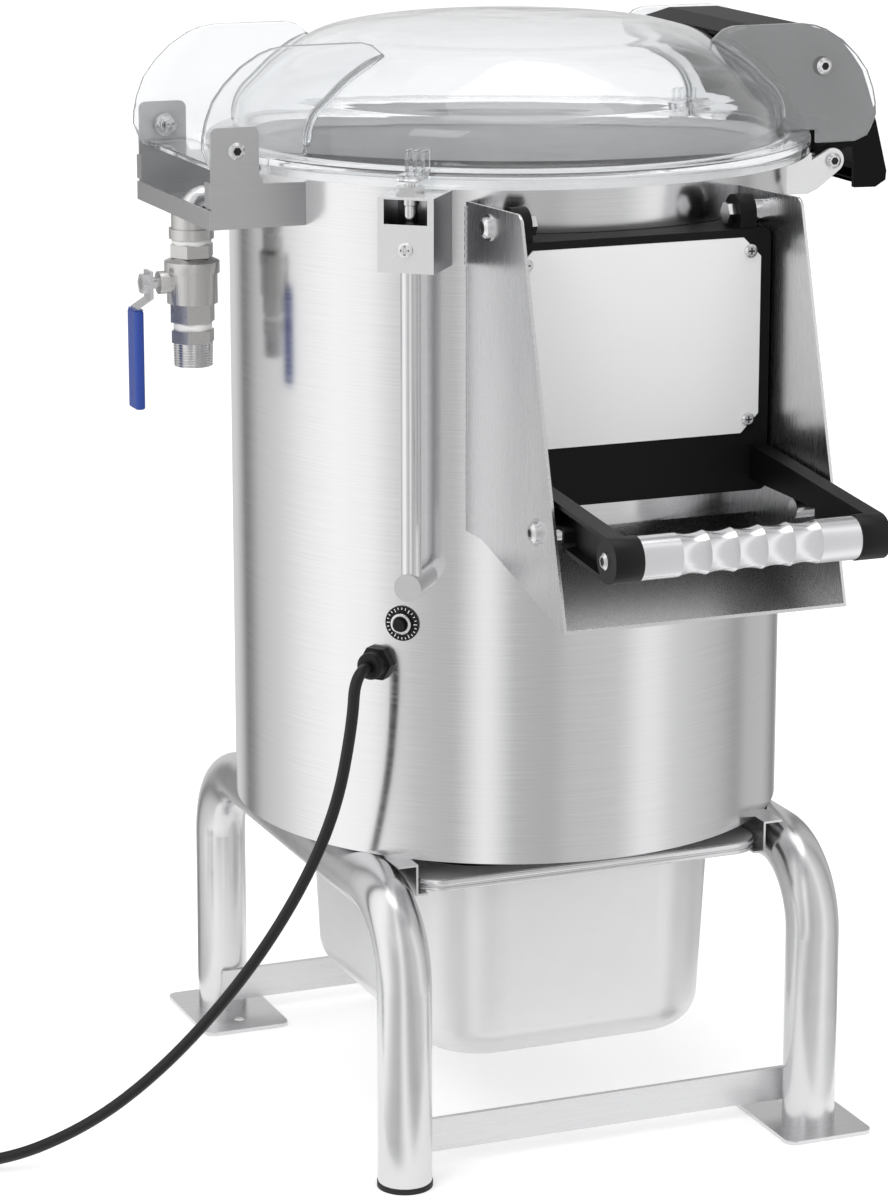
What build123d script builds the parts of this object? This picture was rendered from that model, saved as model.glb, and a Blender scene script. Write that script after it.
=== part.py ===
"""Floor-standing potato peeler: a lined steel drum on tube legs, with a clear hinged
lid, a swinging discharge door over a chute, a water valve and a pan for the peel.

Frame: millimetres, +Z up, the front with its chute faces -Y, and the origin lies on
the drum's axis at floor level.
"""
from build123d import *
import os
from math import cos, hypot, pi, radians, sin, sqrt, tan

os.makedirs("parts", exist_ok=True)

# Driving sizes of the drum, and the gaps that everything shares
drum_radius = 199.0
drum_height = 475.0
drum_base = 221.0
sheet = 1.5
running_gap = 0.3
fit_gap = 0.05
hole_gap = 0.2
overrun = 20.0
root_depth = 49.0
head_round_share = 0.45
head_taper = 52.0

rim = drum_base + drum_height
inner_radius = drum_radius - sheet


def radial_plane(azimuth, radius, height):
    """Plane that looks straight out of the drum, with its local y upwards."""
    turn = radians(azimuth)
    return Plane(
        origin=(radius * sin(turn), -radius * cos(turn), height),
        x_dir=(cos(turn), sin(turn), 0),
        z_dir=(sin(turn), -cos(turn), 0),
    )


def level_plane(azimuth, height, radius=0):
    """Level plane at a radius from the drum's axis, with its local y outwards."""
    turn = radians(azimuth)
    return Plane(
        origin=(radius * sin(turn), -radius * cos(turn), height),
        x_dir=(-cos(turn), -sin(turn), 0),
        z_dir=(0, 0, 1),
    )


def cut_drum(radius):
    """Cut away what lies inside a cylinder round the drum's axis."""
    bore(Plane.XY, radius, 2 * rim)


def keep_inside(radius):
    """Keep only what lies inside a cylinder round the drum's axis."""
    disc(Plane.XY, radius, 2 * rim, mode=Mode.INTERSECT)


def disc(plane, radius, height, mode=Mode.ADD):
    """Plain round disc or pin that stands on a plane."""
    with BuildSketch(plane) as face:
        Circle(radius)
    extrude(face.sketch, amount=height, mode=mode)


def bore(plane, radius, depth):
    """Round hole cut from a plane along its normal."""
    disc(plane, radius, depth, mode=Mode.SUBTRACT)


def hexagon(plane, flat_radius, height, mode=Mode.ADD):
    """Hexagonal nut, stage or socket that stands on a plane."""
    with BuildSketch(plane) as face:
        RegularPolygon(flat_radius, 6, major_radius=False)
    extrude(face.sketch, amount=height, mode=mode)


def button_head(plane, radius, height):
    """Domed screw head that stands on a plane."""
    straight = height * (1 - head_round_share)
    disc(plane, radius, straight)
    with BuildSketch(plane.offset(straight)) as face:
        Circle(radius)
    extrude(face.sketch, amount=height - straight, taper=head_taper)



# Door opening in the drum wall
opening_half = 88.0
opening_sill_drop = 210.0
opening_top_drop = 42.0
opening_sill = rim - opening_sill_drop
opening_top = rim - opening_top_drop

# Fittings round the drum: azimuths count from the front, rises from the drum's base
gland_azimuth = -49.04
gland_rise = 139.4
gland_neck = 8.0
reset_azimuth = -43.75
reset_rise = 169.2
reset_neck = 5.5
box_azimuth = -39.2
stub_rise = 204.0
stub_radius = 9.5
stub_wall = 3.0
bracket_azimuth = -90.0
gland_z = drum_base + gland_rise
reset_z = drum_base + reset_rise
stub_z = drum_base + stub_rise

# Water pipe that crosses the wall above the hinge bracket's floor
pipe_radius = 8.0
pipe_drop = 26.0
valve_reach = 39.0
valve_x = -drum_radius - valve_reach
pipe_z = rim - pipe_drop

# Drum shell with its door opening and the holes for pipe, cable and reset button
wall_holes = [
    (gland_azimuth, gland_z, gland_neck + hole_gap),
    (reset_azimuth, reset_z, reset_neck + hole_gap),
    (box_azimuth, stub_z, stub_radius - stub_wall),
    (bracket_azimuth, pipe_z, pipe_radius),
]
with BuildPart() as drum_shell:
    with BuildSketch(Plane.XY.offset(drum_base)):
        Circle(drum_radius)
        Circle(inner_radius, mode=Mode.SUBTRACT)
    extrude(amount=drum_height)
    with BuildSketch(Plane.XZ):
        with Locations((0, (opening_sill + opening_top) / 2)):
            Rectangle(2 * opening_half, opening_top - opening_sill)
    extrude(amount=drum_radius + overrun, mode=Mode.SUBTRACT)
    for azimuth, height, radius in wall_holes:
        bore(radial_plane(azimuth, inner_radius - overrun, height), radius, 2 * overrun)

# Drain beside the drive, on the far side of the shaft from the motor
drain_radius = 25.0
drain_wall = 1.5
drain_flange = 34.0
drain_margin = 18.5
drain_turn = radians(136.4)
drain_x = (inner_radius - drain_margin - drain_flange) * cos(drain_turn)
drain_y = (inner_radius - drain_margin - drain_flange) * sin(drain_turn)
drain_flange_height = 3.0

# Base plate, a little way up inside the drum, with vents under the motor
base_inset = 3.0
base_sheet = 2.0
vent_count = 7
vent_pitch = 14.0
vent_length = 60.0
vent_width = 6.0
motor_radius = 52.0
motor_margin = 20.5
motor_turn = radians(36.87)
motor_reach = inner_radius - motor_margin - motor_radius
motor_x = motor_reach * cos(motor_turn)
motor_y = motor_reach * sin(motor_turn)
with BuildPart() as base_plate:
    with BuildSketch(Plane.XY.offset(drum_base + base_inset)):
        Circle(inner_radius)
        with Locations((drain_x, drain_y)):
            Circle(drain_radius, mode=Mode.SUBTRACT)
        with Locations((motor_x, motor_y)):
            with GridLocations(vent_pitch, 0, vent_count, 1):
                SlotOverall(vent_length, vent_width, rotation=90, mode=Mode.SUBTRACT)
    extrude(amount=base_sheet)

# Floor of the peeling chamber, with the bearing housing's seat and the drain hole
chamber_drop = 242.0
chamber_sheet = 2.0
chamber_z = rim - chamber_drop
housing_radius = 34.0
with BuildPart() as chamber_floor:
    with BuildSketch(Plane.XY.offset(chamber_z)):
        Circle(inner_radius)
        Circle(housing_radius, mode=Mode.SUBTRACT)
        with Locations((drain_x, drain_y)):
            Circle(drain_radius - drain_wall, mode=Mode.SUBTRACT)
    extrude(amount=chamber_sheet)

with BuildPart() as drain_outlet:
    with BuildSketch(Plane.XY.offset(chamber_z - drain_flange_height)):
        with Locations((drain_x, drain_y)):
            Circle(drain_flange)
    extrude(amount=drain_flange_height)
    with BuildSketch(Plane.XY.offset(drum_base)):
        with Locations((drain_x, drain_y)):
            Circle(drain_radius)
    extrude(amount=chamber_z - drum_base)
    with BuildSketch(Plane.XY.offset(drum_base)):
        with Locations((drain_x, drain_y)):
            Circle(drain_radius - drain_wall)
    extrude(amount=chamber_z - drum_base, mode=Mode.SUBTRACT)

# Abrasive liner on the chamber wall, cut away at the door
liner_thickness = 4.0
liner_foot_drop = 212.0
liner_top_drop = 60.0
liner_side_gap = 6.0
with BuildPart() as abrasive_liner:
    with BuildSketch(Plane.XY.offset(rim - liner_foot_drop)):
        Circle(inner_radius)
        Circle(inner_radius - liner_thickness, mode=Mode.SUBTRACT)
        with Locations((0, -drum_radius)):
            Rectangle(2 * (opening_half + liner_side_gap), drum_radius, mode=Mode.SUBTRACT)
    extrude(amount=liner_foot_drop - liner_top_drop)

# Peeling disc with three radial waves and a hub
disc_gap = 5.5
disc_radius = inner_radius - liner_thickness - disc_gap
disc_drop = 233.0
disc_thickness = 8.0
disc_edge_round = 3.0
wave_count = 3
wave_half_width = 26.0
wave_height = 13.0
wave_start = 36.0
hub_radius = 30.0
hub_height = 8.0
hub_cap = 3.0
shaft_radius = 12.5
shaft_foot_rise = 14.0
disc_z = rim - disc_drop
disc_top = disc_z + disc_thickness
with BuildPart() as peeling_disc:
    with BuildSketch(Plane.XY.offset(disc_z)):
        Circle(disc_radius)
    extrude(amount=disc_thickness)
    fillet(faces().sort_by(Axis.Z)[-1].edges(), radius=disc_edge_round)
    for step in range(wave_count):
        wave_turn = radians(step * 360 / wave_count)
        wave_plane = Plane(
            origin=(wave_start * cos(wave_turn), wave_start * sin(wave_turn), disc_z),
            x_dir=(-sin(wave_turn), cos(wave_turn), 0),
            z_dir=(cos(wave_turn), sin(wave_turn), 0),
        )
        with BuildSketch(wave_plane):
            with BuildLine():
                Polyline(
                    (wave_half_width, disc_thickness),
                    (wave_half_width, disc_thickness / 2),
                    (-wave_half_width, disc_thickness / 2),
                    (-wave_half_width, disc_thickness),
                )
                ThreePointArc(
                    (-wave_half_width, disc_thickness),
                    (0, disc_thickness + wave_height),
                    (wave_half_width, disc_thickness),
                )
            make_face()
        extrude(amount=disc_radius - 2 * disc_edge_round - wave_start)
    disc(Plane.XY.offset(disc_z), hub_radius, disc_thickness + hub_height)
    bore(Plane.XY.offset(disc_z), shaft_radius, disc_thickness + hub_height - hub_cap)
    keep_inside(disc_radius)

with BuildPart() as main_shaft:
    disc(
        Plane.XY.offset(drum_base + shaft_foot_rise),
        shaft_radius,
        disc_top + hub_height - hub_cap - drum_base - shaft_foot_rise,
    )

# Bearing housing under the chamber floor, its two bearings and the lip seal
housing_height = 86.0
housing_flange = 55.0
housing_flange_height = 6.0
bearing_radius = 26.0
bearing_width = 15.0
seal_height = 6.0
housing_foot = chamber_z - housing_height
seal_z = chamber_z + chamber_sheet - seal_height
with BuildPart() as bearing_housing:
    disc(Plane.XY.offset(housing_foot), housing_radius, housing_height + chamber_sheet)
    disc(Plane.XY.offset(chamber_z - housing_flange_height), housing_flange, housing_flange_height)
    bore(Plane.XY.offset(housing_foot), bearing_radius, housing_height + chamber_sheet)

with BuildPart() as shaft_bearings:
    for level in (housing_foot, seal_z - bearing_width):
        with BuildSketch(Plane.XY.offset(level)):
            Circle(bearing_radius)
            Circle(shaft_radius + fit_gap, mode=Mode.SUBTRACT)
        extrude(amount=bearing_width)

with BuildPart() as shaft_seal:
    with BuildSketch(Plane.XY.offset(seal_z)):
        Circle(bearing_radius)
        Circle(shaft_radius + fit_gap, mode=Mode.SUBTRACT)
    extrude(amount=seal_height)

# Belt drive under the chamber
pulley_rise = 30.0
pulley_width = 16.0
groove_width = 11.0
groove_foot = 7.0
groove_depth = 9.0
small_pulley_radius = 22.0
pulley_margin = 18.0
large_pulley_radius = motor_reach - small_pulley_radius - pulley_margin
motor_shaft_radius = 7.0
pulley_hole_count = 5
pulley_hole_radius = 15.0
pulley_hole_circle = 48.0
pulley_z = drum_base + pulley_rise


def pulley_outline(radius, bore_radius):
    """Half section of a grooved pulley, from its bore outwards."""
    mid = pulley_z + pulley_width / 2
    Polyline(
        (bore_radius, pulley_z),
        (radius, pulley_z),
        (radius, mid - groove_width / 2),
        (radius - groove_depth, mid - groove_foot / 2),
        (radius - groove_depth, mid + groove_foot / 2),
        (radius, mid + groove_width / 2),
        (radius, pulley_z + pulley_width),
        (bore_radius, pulley_z + pulley_width),
        close=True,
    )


with BuildPart() as large_pulley:
    with BuildSketch(Plane.XZ):
        with BuildLine():
            pulley_outline(large_pulley_radius, shaft_radius)
        make_face()
    revolve(axis=Axis.Z)
    with BuildSketch(Plane.XY.offset(pulley_z)):
        with PolarLocations(pulley_hole_circle, pulley_hole_count):
            Circle(pulley_hole_radius)
    extrude(amount=pulley_width, mode=Mode.SUBTRACT)

with BuildPart() as motor_pulley:
    with BuildSketch(Plane((motor_x, motor_y, 0), x_dir=(1, 0, 0), z_dir=(0, -1, 0))):
        with BuildLine():
            pulley_outline(small_pulley_radius, motor_shaft_radius)
        make_face()
    revolve(axis=Axis((motor_x, motor_y, 0), (0, 0, 1)))

# Belt round both pulleys, a little clear of their grooves
belt_thickness = 7.0
belt_seat = groove_depth - running_gap
belt_z = pulley_z + (pulley_width - groove_foot) / 2 + running_gap
belt_height = groove_foot - 2 * running_gap


def belt_hull(grow):
    """Outline that runs round both belt circles."""
    Circle(large_pulley_radius - belt_seat + grow)
    with Locations((motor_x, motor_y)):
        Circle(small_pulley_radius - belt_seat + grow)
    make_hull()


with BuildPart() as drive_belt:
    with BuildSketch(Plane.XY.offset(belt_z)):
        belt_hull(belt_thickness)
    extrude(amount=belt_height)
    with BuildSketch(Plane.XY.offset(belt_z)):
        belt_hull(0)
    extrude(amount=belt_height, mode=Mode.SUBTRACT)

# Motor on a plate that is welded to the drum wall
mount_gap = 16.0
mount_sheet = 5.0
mount_width = 116.0
mount_start = 95.5
motor_height = 130.0
motor_cap_height = 12.0
motor_spigot = 20.0
motor_bore_depth = 65.0
fin_count = 24
fin_depth = 3.0
fin_width = 5.0
mount_z = pulley_z + pulley_width + mount_gap
motor_z = mount_z + mount_sheet
with BuildPart() as motor_mount:
    with BuildSketch(Plane((0, 0, mount_z), x_dir=(motor_x, motor_y, 0), z_dir=(0, 0, 1))):
        Circle(inner_radius)
        with Locations((mount_start + drum_radius / 2, 0)):
            Rectangle(drum_radius, mount_width, mode=Mode.INTERSECT)
        with Locations((motor_reach, 0)):
            Circle(motor_spigot + hole_gap, mode=Mode.SUBTRACT)
    extrude(amount=mount_sheet)

motor_plane = Plane.XY.offset(mount_z).shift_origin((motor_x, motor_y, mount_z))
with BuildPart() as motor:
    disc(motor_plane.offset(mount_sheet), motor_radius, motor_height)
    with BuildSketch(motor_plane.offset(mount_sheet + motor_cap_height)):
        with PolarLocations(motor_radius, fin_count):
            Rectangle(2 * fin_depth, fin_width)
    extrude(amount=motor_height - 2 * motor_cap_height, mode=Mode.SUBTRACT)
    disc(motor_plane, motor_spigot, mount_sheet)
    bore(motor_plane, motor_shaft_radius + fit_gap, motor_bore_depth)

with BuildPart() as motor_shaft:
    disc(
        motor_plane.offset(pulley_z - mount_z),
        motor_shaft_radius,
        mount_z - pulley_z + motor_bore_depth - running_gap,
    )

# Chute: two cheeks and a sloping floor, welded to the drum
chute_half = 102.0
chute_sheet = 2.0
chute_reach = 140.0
chute_shoulder = 64.0
chute_top_drop = 13.5
chute_shoulder_drop = 9.0
chute_tip_drop = 270.7
chute_floor_drop = 237.8
chute_corner = 8.0
chute_back = drum_radius - root_depth
chute_tip_y = -drum_radius - chute_reach

# Bolts through the cheeks: the door turns on the upper pair and rests on the lower
door_axis_reach = 11.7
door_axis_drop = 24.5
stop_reach = 93.9
stop_drop = 212.7
bolt_radius = 4.0
door_axis_y = -drum_radius - door_axis_reach
door_axis_z = rim - door_axis_drop
stop_y = -drum_radius - stop_reach
stop_z = rim - stop_drop
with BuildPart() as chute:
    with BuildSketch(Plane.YZ.offset(-chute_half)):
        with BuildLine():
            Polyline(
                (-chute_back, rim - chute_top_drop),
                (-drum_radius - chute_shoulder, rim - chute_shoulder_drop),
                (chute_tip_y, rim - chute_tip_drop),
                (-drum_radius, rim - chute_floor_drop),
                (-chute_back, rim - chute_floor_drop),
                close=True,
            )
        make_face()
        fillet(vertices().sort_by_distance((-drum_radius - chute_shoulder, rim))[0], chute_corner)
    extrude(amount=2 * chute_half)
    with BuildSketch(Plane.YZ.offset(-chute_half + chute_sheet)):
        with BuildLine():
            Polyline(
                (0, rim + overrun),
                (chute_tip_y - overrun, rim + overrun),
                (chute_tip_y - overrun, rim - chute_tip_drop + chute_sheet),
                (chute_tip_y, rim - chute_tip_drop + chute_sheet),
                (-drum_radius, rim - chute_floor_drop + chute_sheet),
                (0, rim - chute_floor_drop + chute_sheet),
                close=True,
            )
        make_face()
    extrude(amount=2 * (chute_half - chute_sheet), mode=Mode.SUBTRACT)
    for hole_y, hole_z in ((door_axis_y, door_axis_z), (stop_y, stop_z)):
        with BuildSketch(Plane.YZ.offset(-chute_half)):
            with Locations((hole_y, hole_z)):
                Circle(bolt_radius)
        extrude(amount=2 * chute_half, mode=Mode.SUBTRACT)
    cut_drum(drum_radius)

# Leg frames: two bent tubes that pass under the drum from front to rear
leg_x = 157.0
leg_y = 195.3
leg_radius = 19.0
leg_wall = 1.5
leg_bend = 57.0
cap_height = 4.0
plate_height = 3.0
leg_top = drum_base - leg_radius
leg_corners = [(-1, cap_height, plate_height), (1, plate_height, cap_height)]
with BuildPart() as leg_frames:
    for side, front_foot, rear_foot in leg_corners:
        with BuildLine() as leg_route:
            FilletPolyline(
                (side * leg_x, -leg_y, front_foot),
                (side * leg_x, -leg_y, leg_top),
                (side * leg_x, leg_y, leg_top),
                (side * leg_x, leg_y, rear_foot),
                radius=leg_bend,
            )
        with BuildSketch(Plane((side * leg_x, -leg_y, front_foot), z_dir=(0, 0, 1))):
            Circle(leg_radius)
            Circle(leg_radius - leg_wall, mode=Mode.SUBTRACT)
        sweep(path=leg_route.wires()[0])

# Feet: two caps and two plates with a hole for a floor bolt
cap_lip = 0.6
cap_plug_height = 12.0
foot_plate_half = 34.0
foot_plate_inner = 134.0
foot_plate_outer = 233.0
foot_plate_corner = 8.0
floor_bolt_y = 156.0
floor_bolt_radius = 4.25
with BuildPart() as foot_caps:
    for side in (-1, 1):
        disc(Plane((side * leg_x, side * leg_y, 0)), leg_radius + cap_lip, cap_height)
        disc(
            Plane((side * leg_x, side * leg_y, cap_height)),
            leg_radius - leg_wall - fit_gap,
            cap_plug_height,
        )

with BuildPart() as floor_plates:
    for side in (-1, 1):
        with BuildSketch(Plane.XY):
            with Locations((side * leg_x, -side * (foot_plate_inner + foot_plate_outer) / 2)):
                RectangleRounded(
                    2 * foot_plate_half, foot_plate_outer - foot_plate_inner, foot_plate_corner
                )
            with Locations((side * leg_x, -side * floor_bolt_y)):
                Circle(floor_bolt_radius, mode=Mode.SUBTRACT)
        extrude(amount=plate_height)

# Flat bars that tie the legs together near the floor
bar_half_length = 165.0
bar_foot = 13.0
bar_height = 24.5
bar_sheet = 4.0
bar_corner = 3.0
with BuildPart() as crossbars:
    for side in (-1, 1):
        with BuildSketch(Plane.XZ.offset(side * (leg_y - leg_radius - bar_sheet / 2))):
            with Locations((0, bar_foot + bar_height / 2)):
                RectangleRounded(2 * bar_half_length, bar_height, bar_corner)
        extrude(amount=bar_sheet / 2, both=True)

# Rails under the drum that carry the peel pan
rail_web = 133.4
rail_sheet = 1.5
rail_half_length = 161.9
rail_height = 22.8
rail_flange = 14.6
rail_lip = 7.4
with BuildPart() as pan_rails:
    with BuildSketch(Plane.XZ.offset(-rail_half_length)):
        with BuildLine():
            Polyline(
                (rail_web, drum_base),
                (rail_web + rail_flange, drum_base),
                (rail_web + rail_flange, drum_base - rail_sheet),
                (rail_web + rail_sheet, drum_base - rail_sheet),
                (rail_web + rail_sheet, drum_base - rail_height),
                (rail_web - rail_lip, drum_base - rail_height),
                (rail_web - rail_lip, drum_base - rail_height + rail_sheet),
                (rail_web, drum_base - rail_height + rail_sheet),
                close=True,
            )
        make_face()
    extrude(amount=2 * rail_half_length)
    mirror(about=Plane.YZ)

# Peel pan: a gastronorm half pan with a turned-down rim that slides on the rails
pan_half_width = 132.5
pan_half_length = 162.5
pan_rim_corner = 22.0
pan_body_width = 236.0
pan_body_length = 296.0
pan_body_corner = 60.0
pan_depth = 150.0
pan_taper = 3.0
pan_foot_round = 25.0
pan_sheet = 1.0
pan_rim_height = 8.0
pan_foot = drum_base - rail_height + rail_sheet + running_gap
pan_top = pan_foot + pan_rim_height
with BuildPart() as peel_pan:
    with BuildSketch(Plane.XY.offset(pan_top)):
        RectangleRounded(pan_body_width, pan_body_length, pan_body_corner)
    extrude(amount=-pan_depth, taper=pan_taper)
    fillet(faces().sort_by(Axis.Z)[0].edges(), radius=pan_foot_round)
    with BuildSketch(Plane.XY.offset(pan_foot)):
        RectangleRounded(2 * pan_half_width, 2 * pan_half_length, pan_rim_corner)
        offset(amount=-pan_sheet, mode=Mode.SUBTRACT)
    extrude(amount=pan_rim_height)
    with BuildSketch(Plane.XY.offset(pan_top - pan_sheet)):
        RectangleRounded(2 * pan_half_width, 2 * pan_half_length, pan_rim_corner)
    extrude(amount=pan_sheet)
    with BuildPart(mode=Mode.SUBTRACT):
        with BuildSketch(Plane.XY.offset(pan_top)):
            RectangleRounded(
                pan_body_width - 2 * pan_sheet,
                pan_body_length - 2 * pan_sheet,
                pan_body_corner - pan_sheet,
            )
        extrude(amount=pan_sheet - pan_depth, taper=pan_taper)
        fillet(faces().sort_by(Axis.Z)[0].edges(), radius=pan_foot_round - pan_sheet)

# Door moulding: it turns between the cheeks and plugs the opening
door_half = 98.0
door_sill_drop = 214.0
door_top_drop = 34.0
door_front_reach = 26.0
door_seal_gap = 2.5
plug_half = 86.0
plug_foot_gap = 4.0
plug_top_gap = 4.0
plug_inset = 1.0
hollow_half = 80.0
hollow_edge = 5.0
door_wall = 5.0
liner_sheet = 1.2
lug_inner = 76.0
lug_outer = 88.0
lug_radius = 12.5
door_corner = 6.0
door_sill = rim - door_sill_drop
door_top = rim - door_top_drop
door_front_y = -drum_radius - door_front_reach
plug_foot = opening_sill + plug_foot_gap
plug_top = opening_top - plug_top_gap
hollow_foot = plug_foot + hollow_edge
hollow_top = plug_top - hollow_edge


def door_block(half_width, low, high, front_y, corner):
    """Upright block from a front plane back towards the drum's axis."""
    with BuildSketch(Plane.XZ.offset(drum_radius / 2)) as face:
        with Locations((0, (low + high) / 2)):
            RectangleRounded(2 * half_width, high - low, corner)
    extrude(face.sketch, amount=-front_y - drum_radius / 2)


with BuildPart() as door_frame:
    door_block(door_half, door_sill, door_top, door_front_y, door_corner)
    cut_drum(drum_radius + door_seal_gap)
    with BuildPart():
        door_block(plug_half, plug_foot, plug_top, -drum_radius - door_seal_gap, door_corner)
        cut_drum(drum_radius - plug_inset)
    with BuildSketch(Plane.YZ.offset(lug_inner)):
        with Locations((door_axis_y, door_axis_z)):
            Circle(lug_radius)
        with Locations((door_axis_y, (door_axis_z + door_top - door_corner) / 2)):
            Rectangle(2 * lug_radius, door_axis_z - door_top + door_corner)
    lug = extrude(amount=lug_outer - lug_inner)
    mirror(lug, about=Plane.YZ)
    with BuildSketch(Plane.YZ.offset(-lug_outer)):
        with Locations((door_axis_y, door_axis_z)):
            Circle(bolt_radius + fit_gap)
    extrude(amount=2 * lug_outer, mode=Mode.SUBTRACT)
    with BuildSketch(Plane.XZ):
        with Locations((0, (hollow_foot + hollow_top) / 2)):
            Rectangle(2 * hollow_half, hollow_top - hollow_foot)
    extrude(amount=-door_front_y - door_wall, mode=Mode.SUBTRACT)

with BuildPart() as door_liner:
    with BuildSketch(Plane.XY.offset(hollow_foot)):
        Circle(drum_radius - plug_inset + liner_sheet)
        Circle(drum_radius - plug_inset, mode=Mode.SUBTRACT)
        with Locations((0, -drum_radius)):
            Rectangle(2 * hollow_half, drum_radius, mode=Mode.INTERSECT)
    extrude(amount=hollow_top - hollow_foot)

# Seal on the back of the door, round the plug
seal_half = 94.0
seal_edge = 1.0
with BuildPart() as door_seal:
    with BuildSketch(Plane.XZ):
        with Locations((0, (door_sill + door_top) / 2)):
            Rectangle(2 * seal_half, door_top - door_sill - 2 * seal_edge)
        with Locations((0, (plug_foot + plug_top) / 2)):
            RectangleRounded(2 * plug_half, plug_top - plug_foot, door_corner, mode=Mode.SUBTRACT)
    extrude(amount=drum_radius + overrun)
    keep_inside(drum_radius + door_seal_gap)
    cut_drum(drum_radius + running_gap)

# Steel panel on the door's front with its four screws
panel_half = 90.0
panel_foot_drop = 173.3
panel_top_drop = 39.5
panel_corner = 13.0
panel_sheet = 1.5
screw_x = 82.0
screw_top_drop = 48.6
screw_foot_drop = 163.9
screw_head = 4.6
screw_height = 2.2
screw_core = 2.0
screw_slot = 1.0
screw_slot_depth = 1.1
panel_foot = rim - panel_foot_drop
panel_top = rim - panel_top_drop
with BuildPart() as door_panel:
    with BuildSketch(Plane.XZ.offset(-door_front_y)):
        with Locations((0, (panel_foot + panel_top) / 2)):
            Rectangle(2 * panel_half, panel_top - panel_foot)
        chamfer(vertices(), panel_corner)
    extrude(amount=panel_sheet)
    for side in (-1, 1):
        for drop in (screw_top_drop, screw_foot_drop):
            with BuildSketch(Plane.XZ.offset(-door_front_y)):
                with Locations((side * screw_x, rim - drop)):
                    Circle(screw_core)
            extrude(amount=panel_sheet, mode=Mode.SUBTRACT)

with BuildPart() as door_screws:
    for side in (-1, 1):
        for drop in (screw_top_drop, screw_foot_drop):
            screw_plane = Plane(
                (side * screw_x, door_front_y - panel_sheet, rim - drop),
                x_dir=(1, 0, 0),
                z_dir=(0, -1, 0),
            )
            button_head(screw_plane, screw_head, screw_height)
            disc(screw_plane.offset(-panel_sheet), screw_core, panel_sheet)
            with BuildSketch(screw_plane.offset(screw_height - screw_slot_depth)):
                Rectangle(screw_head, screw_slot)
                Rectangle(screw_slot, screw_head)
            extrude(amount=screw_slot_depth, mode=Mode.SUBTRACT)

# Door hinge bolts with spacers, and the stop pins below them
spacer_radius = 8.0
nut_height = 5.5
nut_radius = 6.5
bolt_head = 7.0
bolt_head_height = 4.0
socket_radius = 2.6
socket_depth = 2.2
washer_radius = 9.0
washer_height = 1.2
cheek_inner = chute_half - chute_sheet


def cheek_bolt(side, y, z, inner):
    """Button-head bolt through a cheek, reaching in to a given half width."""
    head_plane = Plane(
        (side * (chute_half + washer_height), y, z), x_dir=(0, 1, 0), z_dir=(side, 0, 0)
    )
    disc(head_plane.offset(-washer_height), washer_radius, washer_height)
    button_head(head_plane, bolt_head, bolt_head_height)
    disc(head_plane.offset(inner - chute_half - washer_height), bolt_radius, chute_half - inner)
    socket_plane = head_plane.offset(bolt_head_height - socket_depth)
    hexagon(socket_plane, socket_radius, socket_depth, Mode.SUBTRACT)


with BuildPart() as door_hinge_bolts:
    for side in (-1, 1):
        cheek_bolt(side, door_axis_y, door_axis_z, lug_inner - running_gap)
        nut_plane = Plane(
            (side * (lug_inner - running_gap), door_axis_y, door_axis_z),
            x_dir=(0, 1, 0),
            z_dir=(-side, 0, 0),
        )
        hexagon(nut_plane, nut_radius, nut_height)
        disc(
            nut_plane.offset(lug_inner - running_gap - cheek_inner),
            spacer_radius,
            cheek_inner - lug_outer - running_gap,
        )

stop_inner = 84.0
arm_under_drop = 206.0
arm_under = rim - arm_under_drop
stop_sleeve = arm_under - running_gap - stop_z
with BuildPart() as stop_pins:
    for side in (-1, 1):
        cheek_bolt(side, stop_y, stop_z, stop_inner)
        sleeve_plane = Plane((side * cheek_inner, stop_y, stop_z), x_dir=(0, 1, 0), z_dir=(-side, 0, 0))
        disc(sleeve_plane, stop_sleeve, cheek_inner - stop_inner)

# Door handle: two arms rigid on the door's moulding and a grip between them
arm_inner = 85.0
arm_outer = 97.0
arm_web = 4.0
arm_flange = 3.0
arm_top_drop = 182.0
arm_boss_reach = 193.4
arm_boss_drop = 210.1
arm_boss_radius = 15.0
arm_step_reach = 123.5
arm_step_drop = 218.8
arm_fillet = 6.0
arm_round = 1.2
grip_half = 77.0
grip_radius = 14.25
boss_y = -drum_radius - arm_boss_reach
boss_z = rim - arm_boss_drop
step_y = -drum_radius - arm_step_reach
step_z = rim - arm_step_drop


def arm_outline():
    """Side view of an arm, from the door out to the centre of its boss."""
    Polyline(
        (door_front_y, arm_under),
        (door_front_y, rim - arm_top_drop),
        (boss_y, boss_z + arm_boss_radius),
        (boss_y, boss_z - arm_boss_radius),
        (step_y, step_z),
        (step_y, arm_under),
        close=True,
    )


with BuildPart() as handle_arms:
    with BuildSketch(Plane.YZ.offset(arm_inner)):
        with BuildLine():
            arm_outline()
        make_face()
        fillet(vertices().sort_by_distance((step_y, step_z))[0], arm_fillet)
        with Locations((boss_y, boss_z)):
            Circle(arm_boss_radius)
    extrude(amount=arm_outer - arm_inner)
    with BuildSketch(Plane.YZ.offset(arm_inner + arm_web)):
        with BuildLine():
            arm_outline()
        make_face()
        fillet(vertices().sort_by_distance((step_y, step_z))[0], arm_fillet)
        offset(amount=-arm_flange)
        with Locations((boss_y, boss_z)):
            Circle(arm_boss_radius, mode=Mode.SUBTRACT)
    extrude(amount=arm_outer - arm_inner, mode=Mode.SUBTRACT)
    with BuildSketch(Plane.YZ.offset(grip_half)):
        with Locations((boss_y, boss_z)):
            Circle(arm_boss_radius)
    extrude(amount=arm_inner - grip_half)
    handle_bore = 3.0
    with BuildSketch(Plane.YZ.offset(grip_half)):
        with Locations((boss_y, boss_z)):
            Circle(handle_bore)
    extrude(amount=arm_outer - grip_half, mode=Mode.SUBTRACT)
    mirror(about=Plane.YZ)

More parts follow.
